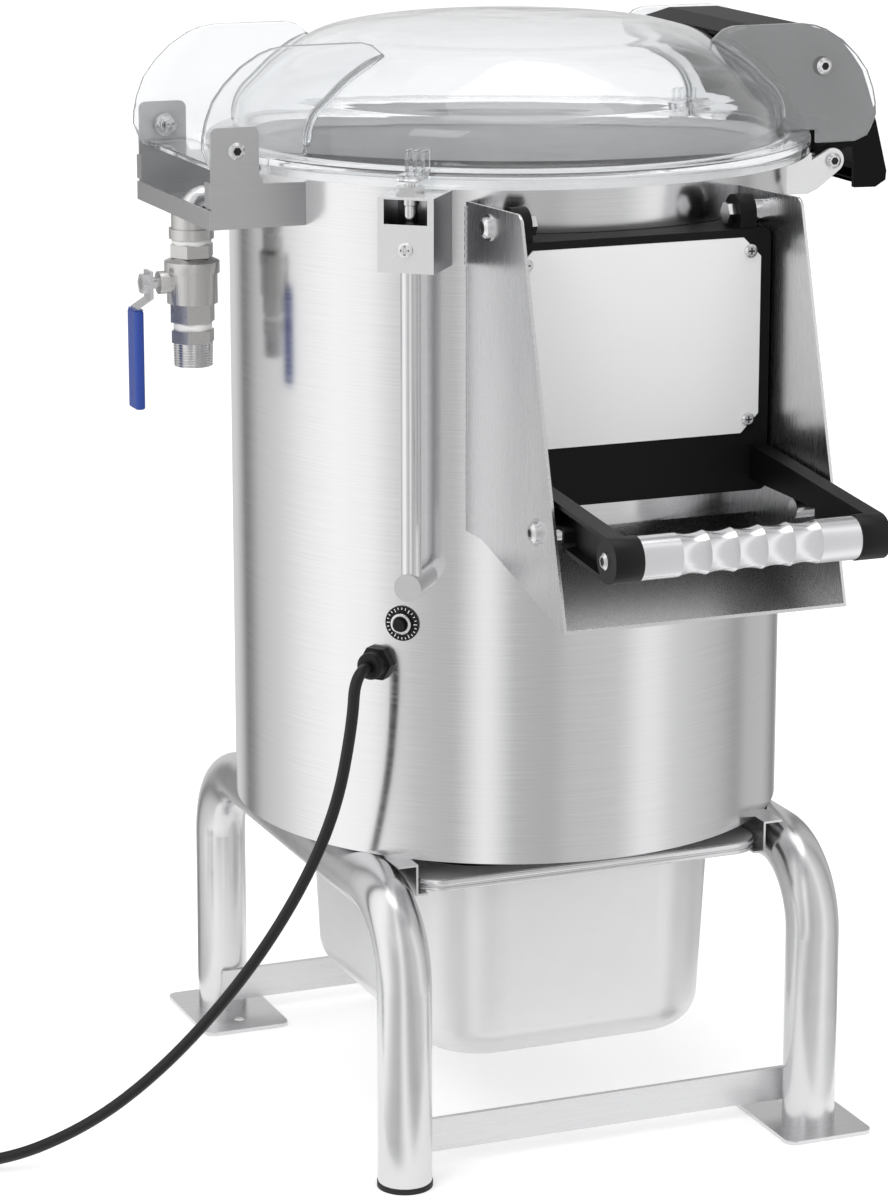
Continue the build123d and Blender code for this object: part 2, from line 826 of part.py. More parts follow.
# Grip with hollows for the fingers
finger_start = -49.7
finger_pitch = 19.7
finger_count = 5
finger_depth = 1.6
grip_edge = 1.2
with BuildPart() as handle_grip:
    with BuildSketch(Plane((0, boss_y, boss_z), x_dir=(1, 0, 0), z_dir=(0, 0, 1))):
        with BuildLine():
            Polyline(
                (finger_start + finger_count * finger_pitch, grip_radius),
                (grip_half, grip_radius),
                (grip_half, 0),
                (-grip_half, 0),
                (-grip_half, grip_radius),
                (finger_start, grip_radius),
            )
            for finger in range(finger_count):
                near = finger_start + finger * finger_pitch
                ThreePointArc(
                    (near, grip_radius),
                    (near + finger_pitch / 2, grip_radius - finger_depth),
                    (near + finger_pitch, grip_radius),
                )
        make_face()
    revolve(axis=Axis((0, boss_y, boss_z), (1, 0, 0)))
    handle_screw_depth = 25.0
    for side in (-1, 1):
        screw_plane = Plane((side * grip_half, boss_y, boss_z), x_dir=(0, 1, 0), z_dir=(-side, 0, 0))
        bore(screw_plane, handle_bore, handle_screw_depth)

handle_head = 5.6
handle_head_height = 3.2
with BuildPart() as handle_screws:
    for side in (-1, 1):
        screw_plane = Plane((side * arm_outer, boss_y, boss_z), x_dir=(0, 1, 0), z_dir=(side, 0, 0))
        button_head(screw_plane, handle_head, handle_head_height)
        disc(screw_plane, handle_bore, -(arm_outer - grip_half + handle_screw_depth - running_gap))
        socket_plane = screw_plane.offset(handle_head_height - socket_depth)
        hexagon(socket_plane, socket_radius, socket_depth, Mode.SUBTRACT)

# Clear lid: one moulding with a dome, a rim that hangs over the drum, ears and lugs
dome_inset = 3.5
dome_radius = drum_radius - dome_inset
dome_height = 81.5
dome_wall = 3.0
flange_overhang = 16.5
flange_radius = drum_radius + flange_overhang
flange_height = 4.0
flange_lip = 3.5
flange_hang = 12.3
flange_rise = 5.5
flange_round = 2.4
dome_foot = rim + flange_rise + flange_height
dome_shares = [
    (1.0, 0.0798),
    (0.984, 0.288),
    (0.929, 0.448),
    (0.862, 0.607),
    (0.779, 0.751),
    (0.712, 0.842),
    (0.639, 0.896),
    (0.500, 0.947),
    (0.360, 0.975),
    (0.0, 1.0),
]


def dome_places(extra):
    """Half section of a dome whose radius and height differ from the lid's by an extra."""
    return [
        ((dome_radius + extra) * across, dome_foot + (dome_height + extra) * up)
        for across, up in dome_shares
    ]


def dome_curve(places):
    """Run of arcs, each from one place over the next to the third, and a level crown."""
    for first in range(0, len(places) - 2, 2):
        ThreePointArc(places[first], places[first + 1], places[first + 2])
    TangentArc(places[-1], places[-2], tangent=(1, 0))


def dome_solid(extra, foot):
    """Solid dome that is cut away from what stands outside it."""
    places = dome_places(extra)
    with BuildSketch(Plane.XZ) as half_section:
        with BuildLine():
            dome_curve(places)
            Polyline(places[-1], (0, foot), (dome_radius + extra, foot), places[0])
        make_face()
    revolve(half_section.sketch, axis=Axis.Z, mode=Mode.SUBTRACT)


cove = dome_height * dome_shares[0][1]

# Ears stand outside the dome on both sides; a tail bar joins the rear pair
ear_inner = 73.0
ear_outer = 77.0
ear_shares = [
    (0.960, -0.006),
    (1.107, -0.006),
    (1.151, 0.039),
    (1.167, 0.113),
    (1.183, 0.219),
    (1.171, 0.443),
    (1.147, 0.599),
    (1.107, 0.735),
    (1.053, 0.865),
    (0.993, 0.959),
    (0.919, 1.012),
    (0.650, 1.018),
    (0.571, 0.906),
    (0.571, 0.100),
    (0.960, 0.100),
]
ear_scale = flange_radius
ear_foot_drop = 0.5
ear_height = 84.5
tail_near_reach = 13.0
tail_near = drum_radius + tail_near_reach
tail_far_reach = 46.0
tail_far = drum_radius + tail_far_reach
tail_rise = 1.0
tail_height = 4.0
pivot_radius = 3.0
hinge_reach = 33.0
hinge_x = -drum_radius - hinge_reach
hinge_rise = 16.0
latch_pivot_reach = 12.2
latch_pivot_x = drum_radius + latch_pivot_reach
latch_pivot_rise = 54.1
hinge_z = rim + hinge_rise
latch_pivot_z = rim + latch_pivot_rise

# Lug over the door switch's plunger, and its twin across the lid
lug_half_width = 9.0
lug_rib = 3.0
lug_start_reach = 6.0
lug_start = drum_radius + lug_start_reach
lug_end_reach = 37.0
lug_end = drum_radius + lug_end_reach
lug_tall = 20.0
lug_plate = 4.5
lug_back_reach = 23.0
lug_back = drum_radius + lug_back_reach
far_lug_azimuth = 118.0
with BuildPart() as lid_ears:
    with BuildSketch(Plane.XZ.offset(-ear_outer)):
        with BuildLine():
            Polyline(
                *[
                    (ear_scale * across, rim - ear_foot_drop + ear_height * up)
                    for across, up in ear_shares
                ],
                close=True,
            )
        make_face()
    extrude(amount=ear_outer - ear_inner)
    mirror(about=Plane.XZ)
    mirror(about=Plane.YZ)
    dome_solid(-dome_wall / 2, rim)

with BuildPart() as lid:
    with BuildSketch(Plane.XZ):
        with BuildLine():
            outer_places = dome_places(0)
            inner_places = dome_places(-dome_wall)
            inner_edge = inner_places[0][0]
            dome_curve(outer_places)
            dome_curve(inner_places)
            Line(outer_places[-1], inner_places[-1])
            Polyline(
                inner_places[0],
                (inner_edge, dome_foot - flange_height),
                (flange_radius - flange_lip, dome_foot - flange_height),
                (flange_radius - flange_lip, dome_foot - flange_hang),
                (flange_radius, dome_foot - flange_hang),
                (flange_radius, dome_foot - flange_round),
            )
            RadiusArc(
                (flange_radius, dome_foot - flange_round),
                (flange_radius - flange_round, dome_foot),
                -flange_round,
            )
            Line((flange_radius - flange_round, dome_foot), (dome_radius + cove, dome_foot))
            RadiusArc((dome_radius + cove, dome_foot), outer_places[0], cove)
        make_face()
    revolve(axis=Axis.Z)
    add(lid_ears.part)
    with BuildSketch(Plane.XY.offset(rim + tail_rise)):
        with Locations((-(tail_near + tail_far) / 2, 0)):
            Rectangle(tail_far - tail_near, 2 * ear_inner)
    extrude(amount=tail_height)
    for azimuth in (box_azimuth, far_lug_azimuth):
        with BuildSketch(level_plane(azimuth, rim + tail_height)):
            with Locations((0, (lug_start + lug_end) / 2)):
                Rectangle(2 * lug_half_width, lug_end - lug_start)
        extrude(amount=lug_plate)
        with BuildSketch(level_plane(azimuth, rim + tail_height)):
            for rib in (-1, 0, 1):
                with Locations((rib * (lug_half_width - lug_rib / 2), (lug_start + lug_back) / 2)):
                    Rectangle(lug_rib, lug_back - lug_start)
        extrude(amount=lug_tall)
    for pivot_x, pivot_z in ((hinge_x, hinge_z), (latch_pivot_x, latch_pivot_z)):
        with BuildSketch(Plane.XZ.offset(-ear_outer)):
            with Locations((pivot_x, pivot_z)):
                Circle(pivot_radius + fit_gap)
        extrude(amount=2 * ear_outer, mode=Mode.SUBTRACT)

# Soft trim that rides on the drum's edge under the lid
trim_inset = 4.0
trim_inner = drum_radius - trim_inset
trim_overhang = 3.5
trim_outer = drum_radius + trim_overhang
trim_drop = 4.0
with BuildPart() as lid_seal:
    with BuildSketch(Plane.XY.offset(rim - trim_drop)):
        Circle(trim_outer)
        Circle(trim_inner, mode=Mode.SUBTRACT)
    extrude(amount=trim_drop + flange_rise - running_gap)
    with BuildSketch(Plane.XY.offset(rim - trim_drop)):
        Circle(drum_radius)
        Circle(inner_radius, mode=Mode.SUBTRACT)
    extrude(amount=trim_drop, mode=Mode.SUBTRACT)

# Hinge bracket welded to the drum: floor, two side plates and small turned lips
bracket_reach = 51.0
bracket_outer = drum_radius + bracket_reach
bracket_plate_inner = 77.5
bracket_plate_outer = 79.5
bracket_floor_drop = 37.0
bracket_floor_sheet = 2.0
bracket_top_rise = 32.0
bracket_tab_reach = 16.5
bracket_tab_x = drum_radius + bracket_tab_reach
bracket_step_reach = 13.4
bracket_step_x = drum_radius + bracket_step_reach
bracket_step_drop = 7.0
bracket_edge_drop = 8.5
bracket_back = drum_radius - root_depth
bracket_corner = 5.0
bracket_lip_height = 13.0
bracket_tab_foot_drop = 22.0
bracket_tab_top_drop = 5.0
bracket_tab_inner = 70.0
bracket_floor = rim - bracket_floor_drop
with BuildPart() as hinge_bracket:
    with BuildSketch(Plane.XZ.offset(-bracket_plate_outer)):
        with BuildLine():
            Polyline(
                (-bracket_back, bracket_floor),
                (-bracket_outer, bracket_floor),
                (-bracket_outer, rim + bracket_top_rise),
                (-bracket_tab_x, rim + bracket_top_rise),
                (-bracket_tab_x, rim),
                (-bracket_step_x, rim - bracket_step_drop),
                (-bracket_back, rim - bracket_edge_drop),
                close=True,
            )
        make_face()
        top_corners = vertices().group_by(Axis.Y)[-1]
        fillet(top_corners, bracket_corner)
        with Locations((hinge_x, hinge_z)):
            Circle(pivot_radius, mode=Mode.SUBTRACT)
    extrude(amount=bracket_plate_outer - bracket_plate_inner)
    with BuildSketch(Plane.YZ.offset(-bracket_outer - sheet)):
        with Locations((bracket_plate_outer - (bracket_plate_outer - bracket_tab_inner) / 2,
                        rim - (bracket_tab_foot_drop + bracket_tab_top_drop) / 2)):
            Rectangle(
                bracket_plate_outer - bracket_tab_inner,
                bracket_tab_foot_drop - bracket_tab_top_drop,
            )
    extrude(amount=sheet)
    mirror(about=Plane.XZ)
    with BuildSketch(Plane.XY.offset(bracket_floor)):
        with Locations((-(bracket_outer + bracket_back) / 2, 0)):
            Rectangle(bracket_outer - bracket_back, 2 * bracket_plate_outer)
    extrude(amount=bracket_floor_sheet)
    with BuildSketch(Plane.YZ.offset(-bracket_outer - sheet)):
        with Locations((0, bracket_floor + bracket_lip_height / 2)):
            Rectangle(2 * bracket_plate_outer, bracket_lip_height)
    extrude(amount=sheet)
    cut_drum(drum_radius)
    bore(Plane((valve_x, 0, bracket_floor)), pipe_radius, bracket_floor_sheet)

hinge_head = 6.0
hinge_head_height = 3.4
hinge_nut_height = 4.7
hinge_nut_radius = 5.0
with BuildPart() as hinge_screws:
    for side in (-1, 1):
        screw_plane = Plane(
            (hinge_x, side * bracket_plate_outer, hinge_z), x_dir=(1, 0, 0), z_dir=(0, side, 0)
        )
        button_head(screw_plane, hinge_head, hinge_head_height)
        disc(
            screw_plane,
            pivot_radius,
            -(bracket_plate_outer - ear_inner + 2 * running_gap + hinge_nut_height),
        )
        socket_plane = screw_plane.offset(hinge_head_height - socket_depth)
        hexagon(socket_plane, socket_radius, socket_depth, Mode.SUBTRACT)

with BuildPart() as hinge_nuts:
    for side in (-1, 1):
        nut_plane = Plane(
            (hinge_x, side * (ear_inner - running_gap), hinge_z), x_dir=(1, 0, 0), z_dir=(0, -side, 0)
        )
        with BuildSketch(nut_plane):
            RegularPolygon(hinge_nut_radius, 6, major_radius=False)
            Circle(pivot_radius, mode=Mode.SUBTRACT)
        extrude(amount=hinge_nut_height)

# Latch: two arms on the drum hold a cross bolt that the handle's hooks catch
latch_half = 70.0
latch_arm_gap = 1.0
latch_arm_sheet = 3.0
latch_arm_inner = latch_half + latch_arm_gap
latch_arm_outer = latch_arm_inner + latch_arm_sheet
latch_bolt_reach = 23.2
latch_bolt_drop = 14.5
latch_bolt_radius = 4.0
latch_arm_round = 9.0
latch_bolt_head = 5.6
latch_bolt_head_height = 3.2
latch_arm_shares = [
    (-8.0, -2.48),
    (-2.15, -2.55),
    (-1.28, -2.19),
    (0.594, -0.803),
    (-0.478, 0.879),
    (-1.87, 0.12),
    (-1.89, 0.71),
    (-8.0, 0.5),
]
latch_bolt_x = drum_radius + latch_bolt_reach
latch_bolt_z = rim - latch_bolt_drop
with BuildPart() as latch_arms:
    with BuildSketch(Plane.XZ.offset(-latch_arm_outer)):
        with BuildLine():
            Polyline(
                *[
                    (latch_bolt_x + latch_arm_round * out, latch_bolt_z + latch_arm_round * up)
                    for out, up in latch_arm_shares
                ],
                close=True,
            )
        make_face()
        with Locations((latch_bolt_x, latch_bolt_z)):
            Circle(latch_arm_round)
            Circle(latch_bolt_radius, mode=Mode.SUBTRACT)
    extrude(amount=latch_arm_outer - latch_arm_inner)
    mirror(about=Plane.XZ)
    cut_drum(drum_radius)

with BuildPart() as latch_bolt:
    disc(
        Plane((latch_bolt_x, latch_arm_outer, latch_bolt_z), x_dir=(1, 0, 0), z_dir=(0, -1, 0)),
        latch_bolt_radius,
        2 * latch_arm_outer,
    )
    for side in (-1, 1):
        head_plane = Plane(
            (latch_bolt_x, side * latch_arm_outer, latch_bolt_z),
            x_dir=(1, 0, 0),
            z_dir=(0, side, 0),
        )
        button_head(head_plane, latch_bolt_head, latch_bolt_head_height)
        socket_plane = head_plane.offset(latch_bolt_head_height - socket_depth)
        hexagon(socket_plane, socket_radius, socket_depth, Mode.SUBTRACT)

# Latch handle: a hollow U-shaped moulding on the lid's ears, with a hook in each cheek
latch_cheek = 3.5
latch_wall = 3.0
hollow_shift_x = -8.0
hollow_shift_z = -5.0
hollow_steps = 3
hook_gap = 0.5
hook_slot_turn = 13.0
hook_slot_length = 20.8
cheek_cut_reach = 19.3
cheek_cut_rise = 8.5
latch_boss = 7.0
handle_shares = [
    (-0.552, 0.923),
    (-0.404, 0.962),
    (-0.103, 0.958),
    (0.019, 0.923),
    (0.121, 0.869),
    (0.204, 0.775),
    (0.266, 0.689),
    (0.305, 0.585),
    (0.366, 0.396),
    (0.438, 0.115),
    (0.434, 0.065),
    (0.370, 0.027),
    (0.059, 0.035),
    (0.059, 0.414),
    (-0.149, 0.468),
    (-0.195, 0.585),
    (-0.288, 0.702),
    (-0.411, 0.819),
    (-0.525, 0.893),
]
handle_length = 130.0
handle_height = 128.5
handle_foot_drop = 39.5
handle_foot = rim - handle_foot_drop
hook_shares = [
    (8.23, 7.55),
    (0.375, 7.55),
    (0.375, 2.675),
    (-2.75, 2.175),
    (-2.75, -2.5),
    (1.375, -2.5),
    (1.375, 1.0),
    (5.375, 3.55),
    (9.75, 3.55),
]


def handle_side(shift):
    """Side view of the latch handle, moved by a number of hollow shifts."""
    Polyline(
        *[
            (
                latch_pivot_x + handle_length * across + shift * hollow_shift_x,
                handle_foot + handle_height * up + shift * hollow_shift_z,
            )
            for across, up in handle_shares
        ],
        close=True,
    )


with BuildPart() as latch_handle:
    with BuildSketch(Plane.XZ):
        with BuildLine():
            handle_side(0)
        make_face()
    extrude(amount=latch_half, both=True)
    for shift in range(hollow_steps):
        with BuildSketch(Plane.XZ):
            with BuildLine():
                handle_side(shift)
            make_face()
            offset(amount=-latch_wall, kind=Kind.INTERSECTION)
        extrude(amount=latch_half - latch_cheek, both=True, mode=Mode.SUBTRACT)
    with BuildSketch(Plane.XZ):
        with BuildLine():
            Polyline(
                (0, 0),
                (latch_bolt_x + cheek_cut_reach, 0),
                (latch_bolt_x + cheek_cut_reach, latch_bolt_z + cheek_cut_rise),
                (0, latch_bolt_z + cheek_cut_rise),
                close=True,
            )
        make_face()
    extrude(amount=latch_half, both=True, mode=Mode.SUBTRACT)
    with BuildSketch(Plane.XZ.offset(latch_half - latch_cheek)):
        with BuildLine():
            Polyline(
                *[
                    (
                        latch_bolt_x + latch_bolt_radius * across,
                        latch_bolt_z + latch_bolt_radius * up,
                    )
                    for across, up in hook_shares
                ],
                close=True,
            )
        make_face()
        with Locations((latch_bolt_x, latch_bolt_z)):
            Circle(latch_bolt_radius + hook_gap, mode=Mode.SUBTRACT)
        slot_turn = radians(hook_slot_turn)
        with Locations(
            (
                latch_bolt_x + hook_slot_length / 2 * cos(slot_turn),
                latch_bolt_z + hook_slot_length / 2 * sin(slot_turn),
            )
        ):
            SlotCenterToCenter(
                hook_slot_length,
                2 * (latch_bolt_radius + hook_gap),
                rotation=hook_slot_turn,
                mode=Mode.SUBTRACT,
            )
    hook = extrude(amount=latch_cheek)
    mirror(hook, about=Plane.XZ)
    dome_solid(2 * running_gap, rim)
    with BuildSketch(Plane.XZ.offset(-latch_half)):
        with Locations((latch_pivot_x, latch_pivot_z)):
            Circle(pivot_radius + fit_gap)
    extrude(amount=2 * latch_half, mode=Mode.SUBTRACT)

latch_head = 6.0
latch_head_height = 3.4
with BuildPart() as latch_screws:
    for side in (-1, 1):
        screw_plane = Plane(
            (latch_pivot_x, side * ear_outer, latch_pivot_z), x_dir=(1, 0, 0), z_dir=(0, side, 0)
        )
        button_head(screw_plane, latch_head, latch_head_height)
        disc(screw_plane, pivot_radius, -(ear_outer - latch_half + latch_cheek + running_gap))
        boss_plane = screw_plane.offset(ear_inner - ear_outer)
        disc(boss_plane, latch_boss, -(ear_inner - latch_half - running_gap))
        socket_plane = screw_plane.offset(latch_head_height - socket_depth)
        hexagon(socket_plane, socket_radius, socket_depth, Mode.SUBTRACT)

# Water valve under the bracket's floor, outlet at the top and inlet thread below
valve_bore = 9.0
valve_socket_radius = 14.0
valve_collar_radius = 15.7
valve_collar_height = 7.0
valve_socket_drop = 54.0
thread_radius = 13.2
thread_grip = 12.0
upper_hex = 13.5
upper_hex_drop = 58.0
upper_hex_foot_drop = 67.0
cap_radius = 19.3
cap_top_drop = 70.0
cap_foot_drop = 78.0
barrel_radius = 17.7
barrel_foot_drop = 99.3
lower_hex = 14.0
body_foot_drop = 112.7
nipple_hex_top_drop = 118.4
nipple_hex_foot_drop = 127.0
nipple_foot_drop = 143.6
ball_radius = 12.0
ball_drop = 84.0
stem_radius = 4.0
stem_gland_radius = 8.0
stem_gland_reach = 25.0
stem_reach = 37.5
ball_z = rim - ball_drop
stem_plane = Plane((valve_x, 0, ball_z), x_dir=(0, 1, 0), z_dir=(-1, 0, 0))


def valve_stage(radius, high_drop, low_drop):
    """Round stage of the valve between two drops below the rim."""
    disc(Plane((valve_x, 0, rim - low_drop)), radius, low_drop - high_drop)


def valve_hex(flat_radius, high_drop, low_drop):
    """Hexagonal stage of the valve between two drops below the rim."""
    hexagon(Plane((valve_x, 0, rim - low_drop)), flat_radius, low_drop - high_drop)


def valve_hole(radius, high_drop, low_drop):
    """Round hole through the valve between two drops below the rim."""
    bore(Plane((valve_x, 0, rim - low_drop)), radius, low_drop - high_drop)


with BuildPart() as valve_socket:
    valve_stage(valve_socket_radius, bracket_floor_drop, valve_socket_drop)
    valve_stage(valve_collar_radius, valve_socket_drop - valve_collar_height, valve_socket_drop)
    valve_hole(valve_bore, bracket_floor_drop, valve_socket_drop)
    valve_hole(thread_radius, valve_socket_drop - thread_grip, valve_socket_drop)

with BuildPart() as valve_body:
    valve_stage(thread_radius, valve_socket_drop - thread_grip, upper_hex_drop)
    valve_hex(upper_hex, upper_hex_drop, upper_hex_foot_drop)
    with BuildSketch(Plane.XZ):
        with BuildLine():
            Polyline(
                (valve_x, rim - upper_hex_foot_drop),
                (valve_x + thread_radius, rim - upper_hex_foot_drop),
                (valve_x + cap_radius, rim - cap_top_drop),
                (valve_x + cap_radius, rim - cap_foot_drop),
                (valve_x + barrel_radius, rim - cap_foot_drop),
                (valve_x + barrel_radius, rim - barrel_foot_drop),
                (valve_x, rim - barrel_foot_drop),
                close=True,
            )
        make_face()
    revolve(axis=Axis((valve_x, 0, 0), (0, 0, 1)))
    valve_hex(lower_hex, barrel_foot_drop, body_foot_drop)
    disc(stem_plane, stem_gland_radius, stem_gland_reach)
    valve_hole(valve_bore, valve_socket_drop - thread_grip, body_foot_drop)
    valve_hole(thread_radius, body_foot_drop - thread_grip, body_foot_drop)
    with Locations((valve_x, 0, ball_z)):
        Sphere(ball_radius + running_gap, mode=Mode.SUBTRACT)
    bore(stem_plane, stem_radius + fit_gap, stem_gland_reach)

with BuildPart() as valve_nipple:
    valve_stage(thread_radius, body_foot_drop - thread_grip, nipple_foot_drop)
    valve_hex(upper_hex, nipple_hex_top_drop, nipple_hex_foot_drop)
    valve_hole(valve_bore, body_foot_drop - thread_grip, nipple_foot_drop)

with BuildPart() as valve_ball:
    with Locations((valve_x, 0, ball_z)):
        Sphere(ball_radius)
    valve_hole(valve_bore, ball_drop - ball_radius, ball_drop + ball_radius)
    disc(stem_plane.offset(valve_bore), stem_radius, stem_reach - valve_bore)

# Lever on the valve's stem: a cranked steel strip inside a plastic sleeve
lever_sheet = 2.5
lever_width = 14.0
lever_head = 9.0
lever_reach = 30.5
lever_out_reach = 40.4
lever_crank_drop = 94.0
lever_crank_low_drop = 100.0
lever_foot_drop = 168.0
lever_nut = 6.5
sleeve_top_drop = 101.0
sleeve_foot_drop = 171.3
sleeve_half_width = 9.5
sleeve_half_thick = 3.6
sleeve_round = 3.0
lever_in = valve_x - lever_reach
lever_out = valve_x - lever_out_reach
with BuildPart() as valve_lever:
    with BuildSketch(Plane.XZ):
        with BuildLine():
            Polyline(
                (lever_in, ball_z + lever_head),
                (lever_in, rim - lever_crank_drop),
                (lever_out, rim - lever_crank_low_drop),
                (lever_out, rim - lever_foot_drop),
                (lever_out - lever_sheet, rim - lever_foot_drop),
                (lever_out - lever_sheet, rim - lever_crank_low_drop),
                (lever_in - lever_sheet, rim - lever_crank_drop),
                (lever_in - lever_sheet, ball_z + lever_head),
                close=True,
            )
        make_face()
    extrude(amount=lever_width / 2, both=True)
    lever_face = lever_reach + lever_sheet
    hexagon(stem_plane.offset(lever_face), lever_nut, stem_reach - lever_face)
    bore(stem_plane, stem_radius, stem_reach)

sleeve_x = lever_out - lever_sheet / 2
with BuildPart() as lever_sleeve:
    with BuildSketch(Plane((sleeve_x, 0, rim - sleeve_foot_drop))):
        RectangleRounded(2 * sleeve_half_thick, 2 * sleeve_half_width, sleeve_round)
    extrude(amount=sleeve_foot_drop - sleeve_top_drop)
    fillet(faces().sort_by(Axis.Z)[0].edges(), radius=sleeve_round / 2)
    with BuildSketch(Plane((sleeve_x, 0, rim - lever_foot_drop))):
        Rectangle(lever_sheet, lever_width)
    extrude(amount=lever_foot_drop - sleeve_top_drop, mode=Mode.SUBTRACT)

# Spray pipe from the bracket's floor over the valve, through the drum wall
pipe_wall = 1.5
pipe_bend = 8.8
pipe_inset = 15.0
pipe_end_x = pipe_inset - drum_radius
pipe_start = bracket_floor
with BuildPart() as spray_pipe:
    with BuildLine() as pipe_route:
        FilletPolyline(
            (valve_x, 0, pipe_start), (valve_x, 0, pipe_z), (pipe_end_x, 0, pipe_z), radius=pipe_bend
        )
    with BuildSketch(Plane((valve_x, 0, pipe_start))):
        Circle(pipe_radius)
        Circle(pipe_radius - pipe_wall, mode=Mode.SUBTRACT)
    sweep(path=pipe_route.wires()[0])

# Door switch box with its window, and the parts inside it
box_half_width = 19.6
box_outer_reach = 40.0
box_outer = drum_radius + box_outer_reach
box_foot_drop = 56.0
box_top_drop = 5.5
box_axis_reach = 29.0
box_axis = drum_radius + box_axis_reach
box_back = drum_radius - root_depth
window_half = 15.0
window_top_drop = 7.2
window_foot_drop = 23.7
box_screw_drop = 40.5
box_screw_head = 5.0
box_screw_height = 2.0
conduit_radius = 7.0
conduit_wall = 1.2
guide_hex = 8.5
guide_height = 6.3
guide_spigot = 6.0
guide_depth = 6.0
plunger_radius = 4.5
plunger_neck = 3.3
plunger_foot_drop = 28.0
plunger_neck_rise = 0.9
plunger_top_rise = 3.7
switch_half_width = 10.0
switch_inner_reach = 21.0
switch_inner = drum_radius + switch_inner_reach
switch_foot_drop = 51.0
switch_top_drop = 33.0
switch_button = 2.0
with BuildPart() as switch_box:
    with BuildSketch(level_plane(box_azimuth, rim - box_foot_drop)):
        with Locations((0, (box_back + box_outer) / 2)):
            Rectangle(2 * box_half_width, box_outer - box_back)
    extrude(amount=box_foot_drop - box_top_drop)
    with BuildSketch(level_plane(box_azimuth, rim - box_foot_drop + sheet)):
        with Locations((0, (box_back + box_outer) / 2 - sheet)):
            Rectangle(2 * (box_half_width - sheet), box_outer - box_back)
    extrude(amount=box_foot_drop - box_top_drop - 2 * sheet, mode=Mode.SUBTRACT)
    with BuildSketch(radial_plane(box_azimuth, box_axis, rim)):
        with Locations((0, -(window_top_drop + window_foot_drop) / 2)):
            Rectangle(2 * window_half, window_foot_drop - window_top_drop)
    extrude(amount=box_outer - box_axis, mode=Mode.SUBTRACT)
    bore(level_plane(box_azimuth, rim - box_foot_drop, box_axis), conduit_radius - conduit_wall, sheet)
    bore(level_plane(box_azimuth, rim - box_top_drop - sheet, box_axis), guide_spigot, sheet)
    cut_drum(drum_radius)
    button_head(
        radial_plane(box_azimuth, box_outer, rim - box_screw_drop), box_screw_head, box_screw_height
    )

with BuildPart() as plunger_guide:
    hexagon(level_plane(box_azimuth, rim - box_top_drop, box_axis), guide_hex, guide_height)
    disc(level_plane(box_azimuth, rim - box_top_drop - guide_depth, box_axis), guide_spigot, guide_depth)
    bore(
        level_plane(box_azimuth, rim - box_top_drop - guide_depth, box_axis),
        plunger_radius + fit_gap,
        guide_depth + guide_height,
    )

with BuildPart() as switch_plunger:
    disc(
        level_plane(box_azimuth, rim - plunger_foot_drop, box_axis),
        plunger_radius,
        plunger_foot_drop + plunger_neck_rise,
    )
    disc(
        level_plane(box_azimuth, rim + plunger_neck_rise, box_axis),
        plunger_neck,
        plunger_top_rise - plunger_neck_rise,
    )

with BuildPart() as micro_switch:
    with BuildSketch(level_plane(box_azimuth, rim - switch_foot_drop)):
        with Locations((0, (switch_inner + box_outer - sheet) / 2)):
            Rectangle(2 * switch_half_width, box_outer - sheet - switch_inner)
    extrude(amount=switch_foot_drop - switch_top_drop)
    disc(
        level_plane(box_azimuth, rim - switch_top_drop, box_axis),
        switch_button,
        switch_top_drop - plunger_foot_drop - running_gap,
    )

# Conduit from the drum up to the switch box
conduit_end_reach = 37.5
conduit_end = drum_radius + conduit_end_reach
with BuildPart() as conduit:
    disc(level_plane(box_azimuth, stub_z, box_axis), conduit_radius, rim - box_foot_drop - stub_z)
    disc(radial_plane(box_azimuth, box_back, stub_z), stub_radius, conduit_end - box_back)
    bore(
        level_plane(box_azimuth, stub_z, box_axis),
        conduit_radius - conduit_wall,
        rim - box_foot_drop - stub_z,
    )
    bore(radial_plane(box_azimuth, box_back, stub_z), stub_radius - stub_wall, box_axis - box_back)
    cut_drum(drum_radius)

# Reset button of the motor's overload breaker
reset_ring = 12.3
reset_ring_height = 1.2
reset_nut = 7.0
reset_nut_height = 3.0
reset_button_radius = 4.0
reset_button_reach = 4.0
reset_body_half = 12.0
reset_body_depth = 34.0
reset_travel = 2.0
reset_stem = 14.0
reset_face = drum_radius + reset_ring_height + reset_nut_height
with BuildPart() as reset_head:
    ring_plane = radial_plane(reset_azimuth, inner_radius - sheet, reset_z)
    disc(ring_plane, reset_ring, 2 * sheet + reset_ring_height)
    cut_drum(drum_radius)
    disc(radial_plane(reset_azimuth, drum_radius, reset_z), reset_nut, reset_face - drum_radius)
    cut_drum(drum_radius)

with BuildPart() as reset_breaker:
    with BuildSketch(radial_plane(reset_azimuth, inner_radius - reset_body_depth, reset_z)):
        Rectangle(2 * reset_body_half, 2 * reset_body_half)
    extrude(amount=reset_body_depth + sheet)
    keep_inside(inner_radius)
    disc(ring_plane, reset_neck, reset_face - inner_radius)
    add(reset_head.part)
    bore(
        radial_plane(reset_azimuth, reset_face - reset_stem - reset_travel, reset_z),
        reset_button_radius + fit_gap,
        reset_stem + reset_travel,
    )

with BuildPart() as reset_button:
    disc(
        radial_plane(reset_azimuth, reset_face - reset_stem + fit_gap, reset_z),
        reset_button_radius,
        reset_stem + reset_button_reach - fit_gap,
    )

